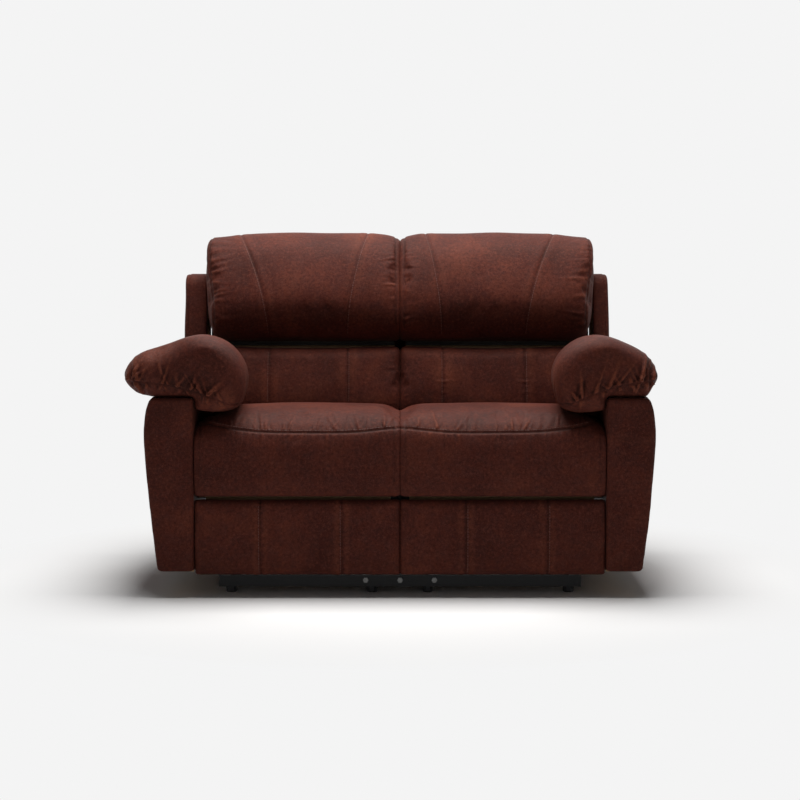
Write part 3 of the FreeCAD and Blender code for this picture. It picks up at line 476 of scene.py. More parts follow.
def both_sides(name, make, relief, outer=OVERALL_HALF, sway=MOVING_WAVE):
    """Right and left piece from one filled form, each with folds of its own."""
    right = make(name + "_right")
    left = flipped(right, name + "_left")
    subdivide(right)
    subdivide(left)
    for piece, side in ((right, "right"), (left, "left")):
        sign = SIGN[side]
        push(piece, lambda p, n: relief(p * (sign, 1, 1), n * (sign, 1, 1), side))
        pressed(piece, sign, outer, sway)
    return (right, "right"), (left, "left")


# Seat cushions

def seat_top(x):
    """How far the seat's top stands above its crown height at x."""
    return -10 * bump(x - SEAT_IN, 22) - 28 * bump(x - SEAT_OUT, 55) + 3 * bump(x - 250, 180)


def seat_section(x):
    lift = seat_top(x)
    top = SEAT_CROWN + lift
    return rounded([
        (APRON, CUSHION_FOOT, 3), (8, CUSHION_FOOT, 8), (-1, 300, 22), (-4, 395, 60),
        (2, 462 + lift * 0.4, 22), (34, 495 + lift * 0.8, 34), (170, top + 8, 110),
        (380, top - 4, 140), (548, 482 + lift * 0.5, 26), (SEAT_REAR - 0.6, 440, 26),
        (SEAT_REAR - 0.6, SEAT_FLOOR, 4),
        (APRON, SEAT_FLOOR, 2),
    ])


def seat_free(p, n):
    """The cover fills out on its top and front only."""
    top = step_up(p[:, 2], 430, 480) * step_up(SEAT_REAR - p[:, 1], 6, 60)
    front = step_up(40 - p[:, 1], 0, 30) * step_up(p[:, 2], 285, 320)
    sides = step_up(p[:, 0] - SEAT_IN, 2, 14) * step_up(SEAT_OUT - p[:, 0], 2, 14)
    return np.maximum(top, front * 0.5) * sides


def make_seat_form(name):
    piece = across(name, SEAT_IN - SPILL, SEAT_OUT + SPILL, 15, 16, seat_section)
    remesh(piece)
    smoothed(piece, 3)
    swell(piece, seat_free, cap=9.0)
    return piece


def front_seam(x):
    """Height of the seam between a seat's top cover and its front."""
    return 461 + 12 * bump(x - SEAT_IN, 90) + 24 * bump(x - SEAT_OUT, 120)


def seat_relief(p, n, side):
    x, y, z = p.T
    forward = step_up(-n[:, 1], 0.15, 0.5)
    off = z - front_seam(x)
    seam = -3.2 * bump(off, 3.2) * forward
    seed = 11 if side == "right" else 23
    above = step_up(off, 2, 10)
    below = step_up(-off, 2, 8)
    climb = np.hypot(np.maximum(off, 0), np.maximum(y - 10, 0))
    span = (SEAT_IN + 30, SEAT_OUT - 30)
    folds = gathers(x, climb, seed, span, 44, 2.1, 60, 4.2, 0.25) * above * step_up(z, 440, 470)
    folds += gathers(x, -off, seed + 1, span, 40, 1.7, 34, 3.6, 0.05) * below * forward
    sag = ripples(x, y, seed + 2, 210, 2.5) * step_up(n[:, 2], 0.3, 0.9)
    drape = ripples(x, z * 0.35, seed + 3, 70, 1.1) * forward * step_up(-off, 5, 40)
    ends = -2.0 * bump(x - SEAT_IN - 14, 3.5) - 2.0 * bump(SEAT_OUT - 14 - x, 3.5)
    return seam + folds + sag + drape + ends * step_up(z, 300, 330) * forward


def make_seats():
    pair = both_sides("seat_cover", make_seat_form, seat_relief, SEAT_OUT + 2, MEETING_WAVE)
    for piece, side in pair:
        finish_soft(piece, "base", "seat_cushion_" + side, SEAT_TO_WORLD)
        line = [(SIGN[side] * x, front_seam(x) + 5)
                for x in np.arange(SEAT_IN + 16, SEAT_OUT - 16, 1.0)]
        stitches("seat_stitches_" + side, piece, "base", line, SEAT_TO_WORLD)


# Head pillows

def pillow_out(z):
    """Outer end of the pillow: it flares towards the top."""
    return 585 + 19 * step_up(z, 440, 660)


def pillow_section(x):
    fall = 12 * step_up(x, 430, 592) + 10 * bump(x - SEAT_IN, 30) - 5 * bump(x - 270, 150) + 5
    return rounded([
        (BACK_FACE, 388, 10), (-72, 380, 44), (-156, 406, 50), (-172, 500, 120),
        (-140, 660, 100), (-70, 728 - fall, 60), (28, 742 - fall, 50), (74, 700 - fall, 34),
        (BACK_REAR + 0.4, POST_TOP, 3), (BACK_FACE, POST_TOP, 2),
    ])


def pillow_free(p, n):
    front = step_up(-p[:, 1], 14, 60)
    crown = step_up(p[:, 2], 660, 700)
    return np.maximum(front, crown) * step_up(p[:, 0] - SEAT_IN, 2, 20)


def make_pillow_form(name):
    piece = across(name, SEAT_IN - SPILL, PILLOW_OUT, 22, 17, pillow_section)
    points = coordinates(piece) / MM
    share = step_up(points[:, 0], 300, 590)
    points[:, 0] += (pillow_out(points[:, 2]) - PILLOW_OUT) * share
    set_coordinates(piece, points * MM)
    remesh(piece)
    smoothed(piece, 3)
    swell(piece, pillow_free, cap=10.0)
    return piece


def pillow_seam(z, which, side):
    """Slanted seams of the head pillow: X at a height."""
    rise = np.clip((z - 380) / 350, 0, 1)
    if which == "inner":
        spread = (167, 100) if side == "left" else (134, 80)
    else:
        spread = (402, 505) if side == "left" else (384, 486)
    return spread[0] + (spread[1] - spread[0]) * rise ** 1.6


def pillow_relief(p, n, side):
    x, _, z = p.T
    face = step_up(-n[:, 1] + 0.4 * n[:, 2], 0.1, 0.4)
    seed = 37 if side == "right" else 53
    relief = np.zeros(len(x))
    for which in ("inner", "outer"):
        off = x - pillow_seam(z, which, side)
        relief -= 1.8 * bump(off, 2.8) * face
        relief += 0.9 * bump(np.abs(off) - 16, 12) * face
        low = step_up(560 - z, 0, 120)
        relief += gathers(z, np.abs(off), seed + 7, (390, 520), 7, 0.5, 16, 3.5) * face * low
    outer = pillow_out(z) - x
    inner = x - SEAT_IN
    folds = gathers(z, outer, seed, (385, 720), 26, 2.0, 46, 6.5, 0.2)
    relief += folds * step_up(outer, 8, 22) * face
    folds = gathers(z, inner, seed + 1, (385, 720), 22, 1.7, 34, 6.0, 0.2)
    relief += folds * step_up(inner, 8, 20) * face
    relief -= 2.4 * bump(outer - 12, 3.2) * face + 2.2 * bump(inner - 11, 3.0) * face
    relief += ripples(x, z, seed + 2, 190, 3.0) * face
    return relief


def make_pillows():
    for piece, side in both_sides("head_cushion", make_pillow_form, pillow_relief):
        body = "back_" + side
        finish_soft(piece, body, "head_pillow_" + side, BACK_TO_WORLD)
        for which, shift in (("inner", -5), ("outer", 5)):
            line = [(SIGN[side] * (pillow_seam(z, which, side) + shift), z)
                    for z in np.arange(392, 716, 1.0)]
            name = "pillow_stitches_%s_%s" % (which, side)
            stitches(name, piece, body, line, BACK_TO_WORLD)


# Lumbar cushions

def lumbar_section(x):
    return rounded([
        (BACK_FACE, 113, 8), (-66, 108, 40), (-116, 138, 44), (-124, 232, 110), (-114, 350, 34),
        (-62, 366, 34), (BACK_FACE, 356, 8),
    ])


def lumbar_free(p, n):
    return step_up(-p[:, 1], 14, 50)


def make_lumbar_form(name):
    piece = across(name, SEAT_IN - SPILL, SEAT_OUT + SPILL, 20, 24, lumbar_section)
    remesh(piece)
    smoothed(piece, 3)
    swell(piece, lumbar_free, cap=7.0)
    return piece


def lumbar_seam(which, side):
    if which == "inner":
        return 162.0 if side == "left" else 134.0
    return 402.0 if side == "left" else 385.0


def lumbar_relief(p, n, side):
    x, _, z = p.T
    face = step_up(-n[:, 1], 0.1, 0.4)
    seed = 71 if side == "right" else 83
    relief = ripples(x, z, seed, 160, 2.2) * face
    for which in ("inner", "outer"):
        off = x - lumbar_seam(which, side)
        relief -= 2.4 * bump(off, 3.0) * face
        relief += 1.2 * bump(np.abs(off) - 18, 14) * face
        relief += gathers(z, np.abs(off), seed + 3, (125, 345), 12, 0.6, 15, 3.5) * face
    inner = x - SEAT_IN
    folds = gathers(z, inner, seed + 1, (125, 345), 12, 1.6, 26, 5.5)
    relief += folds * step_up(inner, 8, 18) * face
    return relief


def make_lumbars():
    for piece, side in both_sides("lower_cushion", make_lumbar_form, lumbar_relief, SEAT_OUT + 1):
        body = "back_" + side
        finish_soft(piece, body, "lumbar_cushion_" + side, BACK_TO_WORLD)
        for which, shift in (("inner", -5), ("outer", 5)):
            x = SIGN[side] * (lumbar_seam(which, side) + shift)
            line = [(x, z) for z in np.arange(122, 340, 1.0)]
            name = "lower_stitches_%s_%s" % (which, side)
            stitches(name, piece, body, line, BACK_TO_WORLD)


# Dust cloth

def make_dust_cloth():
    """Black cloth stapled across the front between the two seat boxes."""
    vertices = []
    faces = []
    height = CLOTH_HIGH - CLOTH_LOW
    for row in range(CLOTH_ROWS):
        for column in range(CLOTH_COLUMNS):
            x = CLOTH_HALF * (2 * column / (CLOTH_COLUMNS - 1) - 1)
            z = CLOTH_LOW + height * row / (CLOTH_ROWS - 1)
            sag = 1.6 * (1 - (x / CLOTH_HALF) ** 2) + 0.5 * math.sin(x * 0.5 + z * 0.11)
            vertices.append((x * MM, (CLOTH_Y + sag) * MM, z * MM))
    for row in range(CLOTH_ROWS - 1):
        for column in range(CLOTH_COLUMNS - 1):
            first = row * CLOTH_COLUMNS + column
            above = first + CLOTH_COLUMNS
            faces.append((first, first + 1, above + 1, above))
    mesh = bpy.data.meshes.new("dust_cloth")
    mesh.from_pydata(vertices, [], faces)
    mesh.transform(SEAT_TO_WORLD)
    cloth = add_object("dust_cloth", mesh)
    smooth_faces(mesh)
    mesh.materials.append(material("webbing"))
    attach(cloth, "base")


# Footrest pads

def footrest_section(x):
    return rounded([
        (FOOTREST_BACK, FOOTREST_FOOT + 3, 3), (22, FOOTREST_FOOT, 12), (3, FOOTREST_FOOT + 5, 16),
        (-4, 165, 100), (3, FOOTREST_TOP - 8, 18), (22, FOOTREST_TOP - 1, 14),
        (FOOTREST_BACK, 258, 4),
    ])


def footrest_free(p, n):
    return step_up(30 - p[:, 1], 0, 20)


def make_footrest_form(name):
    piece = across(name, SEAT_IN - SPILL, SEAT_OUT + SPILL, 11, 12, footrest_section)
    remesh(piece, FINE_VOXEL)
    smoothed(piece, 2)
    swell(piece, footrest_free, cap=5.0)
    return piece


def footrest_seams(side):
    """X of the two upright seams; both pads have them at the same shares from the left."""
    width = SEAT_OUT - SEAT_IN
    if side == "left":
        return [SEAT_OUT - share * width for share in FOOTREST_SEAMS]
    return [SEAT_IN + share * width for share in FOOTREST_SEAMS]


def footrest_relief(p, n, side):
    x, _, z = p.T
    face = step_up(-n[:, 1], 0.1, 0.4)
    seed = 91 if side == "right" else 97
    relief = ripples(x, z, seed, 130, 1.4) * face
    for seam in footrest_seams(side):
        off = x - seam
        relief -= 2.6 * bump(off, 3.0) * face
        relief += 1.3 * bump(np.abs(off) - 14, 10) * face
        relief += gathers(z, np.abs(off), seed + 5, (70, 262), 10, 0.9, 15, 4.0) * face
    top = FOOTREST_TOP - z
    relief += gathers(x, top, seed + 1, (SEAT_IN, SEAT_OUT), 16, 0.9, 20, 6.0) * face
    return relief


def make_footrests():
    pair = both_sides("footrest_cover", make_footrest_form, footrest_relief, SEAT_OUT + 2)
    for piece, side in pair:
        body = "footrest_" + side
        finish_soft(piece, body, "footrest_pad_" + side, SEAT_TO_WORLD)
        for number, seam in enumerate(footrest_seams(side)):
            line = [(SIGN[side] * (seam + 5), z) for z in np.arange(70, 262, 1.0)]
            name = "footrest_stitches_%d_%s" % (number + 1, side)
            stitches(name, piece, body, line, SEAT_TO_WORLD)


# Arms

def arm_section(y):
    return rounded([
        (ARM_IN, ARM_FOOT, 5), (674, ARM_FOOT, 9), (694, 250, 150), (710, 440, 90),
        (704, 520, 60), (689, ARM_TOP - 0.4, 5), (ARM_IN, ARM_TOP - 0.4, 3),
    ])


def oval_cutter(name, radius, depth):
    """Oval plug across the arm's outer side, from depth outwards."""
    rings = []
    for x in (depth, CUT_OUTSIDE):
        ring = []
        for k in range(OVAL_POINTS):
            angle = 2 * math.pi * k / OVAL_POINTS
            shift = CUP_REACH if math.cos(angle) > 0 else -CUP_REACH
            y = CUP_Y + shift + radius * math.cos(angle)
            ring.append((x, y, CUP_Z + radius * math.sin(angle)))
        rings.append(np.array(ring))
    return skin(name, rings)


def block(name, low, high):
    """Box between two corners."""
    rings = []
    for y in (low[1], high[1]):
        rings.append(np.array([(low[0], y, low[2]), (high[0], y, low[2]),
                               (high[0], y, high[2]), (low[0], y, high[2])]))
    return skin(name, rings)


def cut(piece, *cutters):
    """Takes the cutters out of a piece, and removes them."""
    for cutter in cutters:
        change = piece.modifiers.new("cut", "BOOLEAN")
        change.operation = "DIFFERENCE"
        change.solver = "EXACT"
        change.object = cutter
        applied(piece)
        bpy.data.objects.remove(cutter)


def arm_hollow():
    """Room for the arm's wooden frame: open below, and above under the arm pillow."""
    rings = []
    profile = np.array([(ARM_IN + 3.2, ARM_FOOT - 20), (660, ARM_FOOT - 20), (679.6, 250),
                        (694, 440), (688, 520), (674.5, ARM_TOP + 6),
                        (ARM_IN + 3.2, ARM_TOP + 6)])
    for y in (12.4, 627.6):
        rings.append(np.column_stack([profile[:, 0], np.full(len(profile), y), profile[:, 1]]))
    return skin("arm_hollow", rings)


def make_arm_form(name):
    piece = along(name, ARM_FRONT, ARM_REAR - 0.4, 9, 6, arm_section)
    remesh(piece)
    smoothed(piece, 2)
    return piece


def arm_relief(p, n, side):
    x, y, z = p.T
    seed = 113 if side == "right" else 127
    outward = step_up(n[:, 0], 0.3, 0.8)
    forward = step_up(-n[:, 1], 0.3, 0.8)
    crown = 3.0 * step_up(y, 0, 90) * step_up(ARM_REAR - y, 0, 90) * step_up(z, ARM_FOOT, 150)
    # the cover stays flat round the finger cup
    clear = 1 - bump(np.hypot(np.maximum(np.abs(y - CUP_Y) - CUP_REACH, 0), z - CUP_Z), 60)
    relief = outward * (crown + ripples(y, z, seed, 210, 2.0)) * clear
    relief -= outward * 2.2 * bump(y - 15, 3.0)
    folds = outward * gathers(z, y - 15, seed + 1, (90, 540), 18, 1.0, 26, 6.0)
    relief += folds * step_up(y - 15, 2, 8) * clear
    relief += forward * ripples(x, z, seed + 2, 130, 1.6)
    return relief


def make_arms():
    for piece, side in both_sides("arm_cover", make_arm_form, arm_relief):
        cutters = [arm_hollow(), oval_cutter("pocket", CUP_RADIUS - CUP_RIM + 1.5, CUP_DEPTH),
                   oval_cutter("rim_seat", CUP_RADIUS + 0.6, RIM_DEPTH)]
        for y in BOLT_ROOM_Y:
            cutters.append(block("bolt_room", (ARM_IN - 5, y - 5, BOLT_ROOM_Z[0]),
                                 (ARM_IN + 8, y + 5, BOLT_ROOM_Z[1])))
        for cutter in cutters:
            if side == "left":
                mirror(cutter)
        cut(piece, *cutters)
        finish_soft(piece, "base", "arm_panels_" + side, SEAT_TO_WORLD)
        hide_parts("arm_front_" + side)


# Arm pillows

def pad_section(y, tip):
    """The arm pillow from the front; it grows narrower and lower towards the back."""
    back = step_up(y, 60, PAD_WAIST)
    inner = 426 + 46 * back
    top = 722 - 26 * back
    return rounded([
        (687, PAD_FLOOR, 8), (ARM_IN - 0.6, PAD_FLOOR, 2), (ARM_IN - 0.8, 522, 8), (500, 514, 50),
        (inner + 6, 532, 48), (inner - 4, 640, 66), (inner + 48, top - 14, 70),
        (562, top + 6, 80), (650, 692 - 14 * back, 60), (tip - 26, 668 - 10 * back, 44),
        (tip + 3, 612, 18), (tip - 28, 574, 30),
    ])


def pad_free(p, n):
    x, y, z = p.T
    out = step_up(x, 690, 705) * step_up(z, 560, 575)
    top = step_up(z, 600, 640)
    inner = step_up(540 - x, 0, 30) * step_up(z, 530, 560)
    front = step_up(10 - y, 0, 20)
    return np.maximum.reduce([out, top, inner, front]) * step_up(PAD_WAIST - y, 2, 25)


def make_pad_form(name, tip):
    piece = along(name, PAD_FRONT, PAD_WAIST - 2, 58, 20, lambda y: pad_section(y, tip))
    remesh(piece)
    smoothed(piece, 4)
    swell(piece, pad_free, cap=8.0)
    return piece


def pad_seam(x, tip):
    """Seam round the pillow's front: height at X."""
    t = np.clip((x - 470) / (tip - 470), 0, 1)
    return 540 + 66 * np.sin(t * math.pi / 2) ** 0.9


def pad_relief(p, n, side, tip):
    x, y, z = p.T
    seed = 139 if side == "right" else 151
    forward = step_up(-n[:, 1], 0.05, 0.35)
    off = z - pad_seam(x, tip)
    relief = -2.6 * bump(off, 3.0) * forward
    span = (480, tip - 15)
    climb = np.hypot(np.maximum(off, 0), np.maximum(y - 10, 0) * 0.7)
    relief += gathers(x, climb, seed, span, 22, 8.5, 38, 5.0, 0.6) * step_up(off, 0, 8)
    folds = gathers(x, -off, seed + 1, span, 20, 6.0, 22, 4.6, 0.4)
    relief += folds * step_up(-off, 0, 8) * forward
    inner = step_up(530 - x, 0, 40)
    relief += gathers(y, z - 525, seed + 2, (-10, 500), 30, 2.2, 60, 8.0, 0.3) * inner
    folds = gathers(x + z * 0.6, 540 - y, seed + 3, (700, 1150), 12, 2.2, 60, 9.0)
    relief += folds * step_up(y, 380, 520)
    relief += ripples(x + z, y, seed + 4, 170, 3.0)
    floor = step_up(z, PAD_FLOOR + 1, PAD_FLOOR + 14)
    inside = step_up(ARM_IN - 1 - x, 0, 12)
    return relief * np.maximum(floor, inside)


def tail_section(y):
    """Rear end of the arm pillow, beside the leaning back."""
    return rounded([
        (686, PAD_FLOOR, 6), (ARM_IN + 12, PAD_FLOOR, 4), (ARM_IN + 12, 660, 30),
        (ARM_IN + 50, 686, 40), (660, 672, 50), (TAIL_SIDE, 628, 24), (TAIL_SIDE - 8, 585, 24),
    ])


def tail_relief(p, n):
    x, y, z = p.T
    return ripples(x + z, y, 7, 90, 1.6) * step_up(z, 570, 600)


def make_pads():
    for side, tip in PAD_TIP.items():
        piece = make_pad_form("arm_pillow_" + side, tip)
        subdivide(piece)
        push(piece, lambda p, n: pad_relief(p, n, side, tip))
        tail = along("arm_pillow_tail_" + side, PAD_WAIST + 0.4, PAD_REAR - 0.5, 10, 26,
                     tail_section)
        remesh(tail)
        smoothed(tail, 3)
        subdivide(tail)
        push(tail, tail_relief)
        for form in (piece, tail):
            if side == "left":
                mirror(form)
            finish_soft(form, "base", "arm_pad_" + side, SEAT_TO_WORLD)


# Back shells and wings

def shell_section(x):
    return rounded([
        (BACK_REAR + 0.2, -60, 3), (94, -60, 10), (104, 250, 300), (103, 640, 120), (96, 688, 18),
        (BACK_REAR + 0.2, 690, 5),
    ])


def wing_section(x):
    return rounded([
        (2, -8, 6), (-50, 250, 80), (-50, 585, 30), (-18, 608, 26), (84, 610, 18),
        (102, 590, 18), (102, -8, 6),
    ])


def make_shell_form(name):
    piece = across(name, SEAT_IN - SPILL, WING_IN - 2, 9, 9, shell_section)
    remesh(piece)
    smoothed(piece, 2)
    return piece


def shell_relief(p, n, side):
    x, _, z = p.T
    seed = 167 if side == "right" else 173
    rear = step_up(n[:, 1], 0.3, 0.8)
    relief = rear * ripples(x, z, seed, 230, 3.0)
    seams = bump(x - SEAT_IN - 20, 3.0) + bump(WING_IN - 20 - x, 3.0) + bump(z - 668, 3.0)
    relief -= rear * 2.2 * seams
    return relief


def make_wing_form(name, outer):
    piece = across(name, WING_IN, outer, 3, 12, wing_section)
    remesh(piece, FINE_VOXEL)
    smoothed(piece, 2)
    subdivide(piece)
    return piece


def wing_relief(p, n, side):
    x, y, z = p.T
    seed = 181 if side == "right" else 191
    out = step_up(n[:, 0], 0.3, 0.8)
    relief = out * ripples(y, z, seed, 130, 2.4)
    rim = x - (WING_OUT[side] - 12)
    relief -= 1.8 * bump(rim, 2.6) * (1 - out)
    return relief


def make_shells():
    for piece, side in both_sides("back_cover", make_shell_form, shell_relief):
        finish_soft(piece, "back_" + side, "back_shell_" + side, BACK_TO_WORLD)
    for side, outer in WING_OUT.items():
        piece = make_wing_form("back_wing_" + side, outer)
        push(piece, lambda p, n: wing_relief(p, n, side))
        cut(piece, block("board_room", (WING_IN - 5, *WING_BOARD[0]),
                         (WING_IN + WING_BOARD_THICK, *WING_BOARD[1])))
        if side == "left":
            mirror(piece)
        finish_soft(piece, "back_" + side, "back_shell_" + side, BACK_TO_WORLD)


# Stitches

def stitches(name, piece, body, line, to_world):
    """Thread dashes on a front face, along a line of (x, z) places a millimetre or so apart."""
    tree = BVHTree.FromObject(piece, bpy.context.evaluated_depsgraph_get())
    turn = to_world.to_3x3()
    rear = turn @ Vector((0, 1, 0))
    vertices = []
    faces = []
    walked = 0.0
    start = None
    before = None
    for x, z in line:
        here = Vector((x * MM, 0, z * MM))
        origin = to_world @ Vector((x * MM, -0.4, z * MM))
        hit, facing, _, _ = tree.ray_cast(origin, rear)
        if before is not None:
            walked += (here - before).length / MM
        before = here
        if hit is None:
            start = None
            continue
        place = walked % (STITCH_LENGTH + STITCH_GAP)
        if place < STITCH_LENGTH and start is None:
            start = hit
        if place >= STITCH_LENGTH and start is not None:
            add_dash(vertices, faces, start, hit, facing)
            start = None
    mesh = bpy.data.meshes.new(name)
    mesh.from_pydata(vertices, [], faces)
    dashes = add_object(name, mesh)
    mesh.materials.append(material("thread"))
    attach(dashes, body)


def add_dash(vertices, faces, start, end, facing):
    """One stitch: a low ridge that dips at both ends."""
    width = THREAD_WIDTH * MM
    run = (end - start).normalized()
    side = facing.cross(run).normalized() * width / 2
    first = len(vertices)
    for share, lift in ((0.0, -0.2), (0.2, 0.7), (0.8, 0.7), (1.0, -0.2)):
        spot = start.lerp(end, share) + facing * width * lift
        ridge = spot + side * 0.2 + facing * width * 0.35
        vertices.extend([tuple(spot - side), tuple(ridge), tuple(spot + side)])
    for k in range(3):
        low = first + 3 * k
        faces.append((low, low + 1, low + 4, low + 3))
        faces.append((low + 1, low + 2, low + 5, low + 4))


# Materials

MADE = {}


def material(name):
    if name not in MADE:
        MADE[name] = MAKERS[name]()
    return MADE[name]


def blank(name):
    """New material with its nodes, links and shader."""
    made = bpy.data.materials.new(name)
    made.use_nodes = True
    nodes = made.node_tree.nodes
    shader = nodes["Principled BSDF"]
    return made, nodes, made.node_tree.links, shader


def noise(nodes, links, place, scale, detail=3.0, rough=0.55):
    node = nodes.new("ShaderNodeTexNoise")
    node.inputs["Scale"].default_value = scale
    node.inputs["Detail"].default_value = detail
    node.inputs["Roughness"].default_value = rough
    links.new(place, node.inputs["Vector"])
    return node.outputs["Fac"]


def ramp(nodes, links, value, *stops):
    """Colour by value, through stops given as (position, colour)."""
    node = nodes.new("ShaderNodeValToRGB")
    links.new(value, node.inputs["Fac"])
    bar = node.color_ramp
    while len(bar.elements) < len(stops):
        bar.elements.new(0.5)
    for element, (position, colour) in zip(bar.elements, stops):
        element.position = position
        element.color = (*colour, 1.0)
    return node.outputs["Color"]


def blend(nodes, links, share, first, second):
    """Colour between first and second."""
    node = nodes.new("ShaderNodeMix")
    node.data_type = "RGBA"
    for name, value in (("Factor", share), ("A", first), ("B", second)):
        socket = node.inputs[name]
        if isinstance(value, bpy.types.NodeSocket):
            links.new(value, socket)
        else:
            socket.default_value = value
    return node.outputs["Result"]


def spread(nodes, links, value, low, high, to_low=0.0, to_high=1.0):
    """Value from low to high laid over to_low to to_high."""
    node = nodes.new("ShaderNodeMapRange")
    links.new(value, node.inputs["Value"])
    node.inputs["From Min"].default_value = low
    node.inputs["From Max"].default_value = high
    node.inputs["To Min"].default_value = to_low
    node.inputs["To Max"].default_value = to_high
    return node.outputs["Result"]


def bumped(nodes, links, height, distance, strength, under=None):
    node = nodes.new("ShaderNodeBump")
    node.inputs["Distance"].default_value = distance
    node.inputs["Strength"].default_value = strength
    links.new(height, node.inputs["Height"])
    if under is not None:
        links.new(under, node.inputs["Normal"])
    return node.outputs["Normal"]


def object_place(nodes):
    return nodes.new("ShaderNodeTexCoord").outputs["Object"]


def leather():
    """Brushed brown leather: cloudy colour, a fine nap, rusty wear and painted highlight on raised
    folds, painted glints in the grain, painted shade in hollows.
    """
    made, nodes, links, shader = blank("brushed_leather")
    place = object_place(nodes)
    cloud = noise(nodes, links, place, 7.0, 4.0, 0.6)
    base = ramp(nodes, links, cloud, (0.3, (0.040, 0.0085, 0.0058)),
                (0.52, (0.062, 0.0135, 0.0088)), (0.72, (0.092, 0.021, 0.012)))
    patch = spread(nodes, links, noise(nodes, links, place, 38.0, 5.0, 0.7), 0.42, 0.72, 0.0, 0.7)
    base = blend(nodes, links, patch, base, (0.046, 0.0145, 0.0125, 1))
    relief = nodes.new("ShaderNodeAttribute")
    relief.attribute_name = "relief"
    # raised places turn lighter and rustier: partly wear, partly a painted highlight on ridges
    raised_wear_and_highlight = spread(nodes, links, relief.outputs["Fac"], 0.3, 3.4, 0.0, 0.55)
    base = blend(nodes, links, raised_wear_and_highlight, base, (0.170, 0.046, 0.024, 1))
    # painted shade: sunken seams, fold hollows and creases are darkened
    painted_hollow_shade = spread(nodes, links, relief.outputs["Fac"], -0.4, -3.0, 0.0, 0.65)
    base = blend(nodes, links, painted_hollow_shade, base, (0.008, 0.003, 0.0025, 1))
    speckle = noise(nodes, links, place, 420.0, 3.0, 0.75)
    # painted glints: light specks in the grain stand for fine specular highlights
    painted_glint = spread(nodes, links, speckle, 0.54, 0.70, 0.0, 0.45)
    base = blend(nodes, links, painted_glint, base, (0.140, 0.052, 0.038, 1))
    pit = spread(nodes, links, speckle, 0.46, 0.32, 0.0, 0.6)
    base = blend(nodes, links, pit, base, (0.014, 0.004, 0.003, 1))
    mottle = noise(nodes, links, place, 120.0, 4.0, 0.7)
    dark = spread(nodes, links, mottle, 0.50, 0.34, 0.0, 0.55)
    base = blend(nodes, links, dark, base, (0.020, 0.0055, 0.0045, 1))
    light = spread(nodes, links, mottle, 0.54, 0.72, 0.0, 0.45)
    base = blend(nodes, links, light, base, (0.150, 0.042, 0.026, 1))
    links.new(base, shader.inputs["Base Color"])
    rough = spread(nodes, links, speckle, 0.3, 0.7, 0.46, 0.64)
    links.new(rough, shader.inputs["Roughness"])
    shader.inputs["Specular IOR Level"].default_value = 0.09
    shader.inputs["Specular Tint"].default_value = (0.9, 0.6, 0.5, 1)
    shader.inputs["Sheen Weight"].default_value = 0.03
    shader.inputs["Sheen Roughness"].default_value = 0.45
    shader.inputs["Sheen Tint"].default_value = (0.75, 0.42, 0.32, 1)
    grain = nodes.new("ShaderNodeTexVoronoi")
    grain.feature = "DISTANCE_TO_EDGE"
    grain.inputs["Scale"].default_value = 430.0
    links.new(place, grain.inputs["Vector"])
    pores = spread(nodes, links, grain.outputs["Distance"], 0.0, 0.25)
    coarse = bumped(nodes, links, noise(nodes, links, place, 75.0, 5.0, 0.65), 0.0020, 0.55)
    links.new(bumped(nodes, links, pores, 0.0004, 0.55, coarse), shader.inputs["Normal"])
    return made


def thread():
    made, nodes, links, shader = blank("sewing_thread")
    place = object_place(nodes)
    twist = noise(nodes, links, place, 900.0, 2.0)
    tone = ramp(nodes, links, twist, (0.3, (0.075, 0.030, 0.022)), (0.7, (0.17, 0.075, 0.055)))
    links.new(tone, shader.inputs["Base Color"])
    shader.inputs["Roughness"].default_value = 0.55
    links.new(bumped(nodes, links, twist, 0.0003, 0.6), shader.inputs["Normal"])
    return made


def painted(name, colour, rough):
    """Powder-coated metal or dull plastic in one colour."""
    made, nodes, links, shader = blank(name)
    place = object_place(nodes)
    cloud = noise(nodes, links, place, 14.0, 4.0)
    darker = tuple(0.7 * channel for channel in colour)
    links.new(ramp(nodes, links, cloud, (0.3, darker), (0.7, colour)), shader.inputs["Base Color"])
    peel = noise(nodes, links, place, 420.0, 2.0)
    roughness = spread(nodes, links, peel, 0.3, 0.7, rough - 0.06, rough + 0.1)
    links.new(roughness, shader.inputs["Roughness"])
    links.new(bumped(nodes, links, peel, 0.0004, 0.3), shader.inputs["Normal"])
    shader.inputs["Specular IOR Level"].default_value = 0.25
    return made


def zinc():
    made, nodes, links, shader = blank("zinc_plate")
    place = object_place(nodes)
    spangle = noise(nodes, links, place, 260.0, 4.0, 0.7)
    links.new(ramp(nodes, links, spangle, (0.3, (0.08, 0.08, 0.08)), (0.7, (0.17, 0.17, 0.165))),
              shader.inputs["Base Color"])
    shader.inputs["Metallic"].default_value = 1.0
    links.new(spread(nodes, links, spangle, 0.3, 0.7, 0.28, 0.48), shader.inputs["Roughness"])
    return made


def timber():
    """Plain pine boards with the grain along X."""
    made, nodes, links, shader = blank("pine_board")
    place = object_place(nodes)
    stretch = nodes.new("ShaderNodeMapping")
    stretch.inputs["Scale"].default_value = (0.09, 1.0, 1.0)
    links.new(place, stretch.inputs["Vector"])
    wave = nodes.new("ShaderNodeTexWave")
    wave.bands_direction = "Z"
    wave.inputs["Scale"].default_value = 26.0
    wave.inputs["Distortion"].default_value = 9.0
    wave.inputs["Detail"].default_value = 4.0
    links.new(stretch.outputs["Vector"], wave.inputs["Vector"])
    tone = ramp(nodes, links, wave.outputs["Fac"], (0.2, (0.42, 0.26, 0.13)),
                (0.6, (0.62, 0.43, 0.24)), (0.95, (0.50, 0.32, 0.17)))
    links.new(tone, shader.inputs["Base Color"])
    shader.inputs["Roughness"].default_value = 0.68
    links.new(bumped(nodes, links, wave.outputs["Fac"], 0.0006, 0.35), shader.inputs["Normal"])
    return made


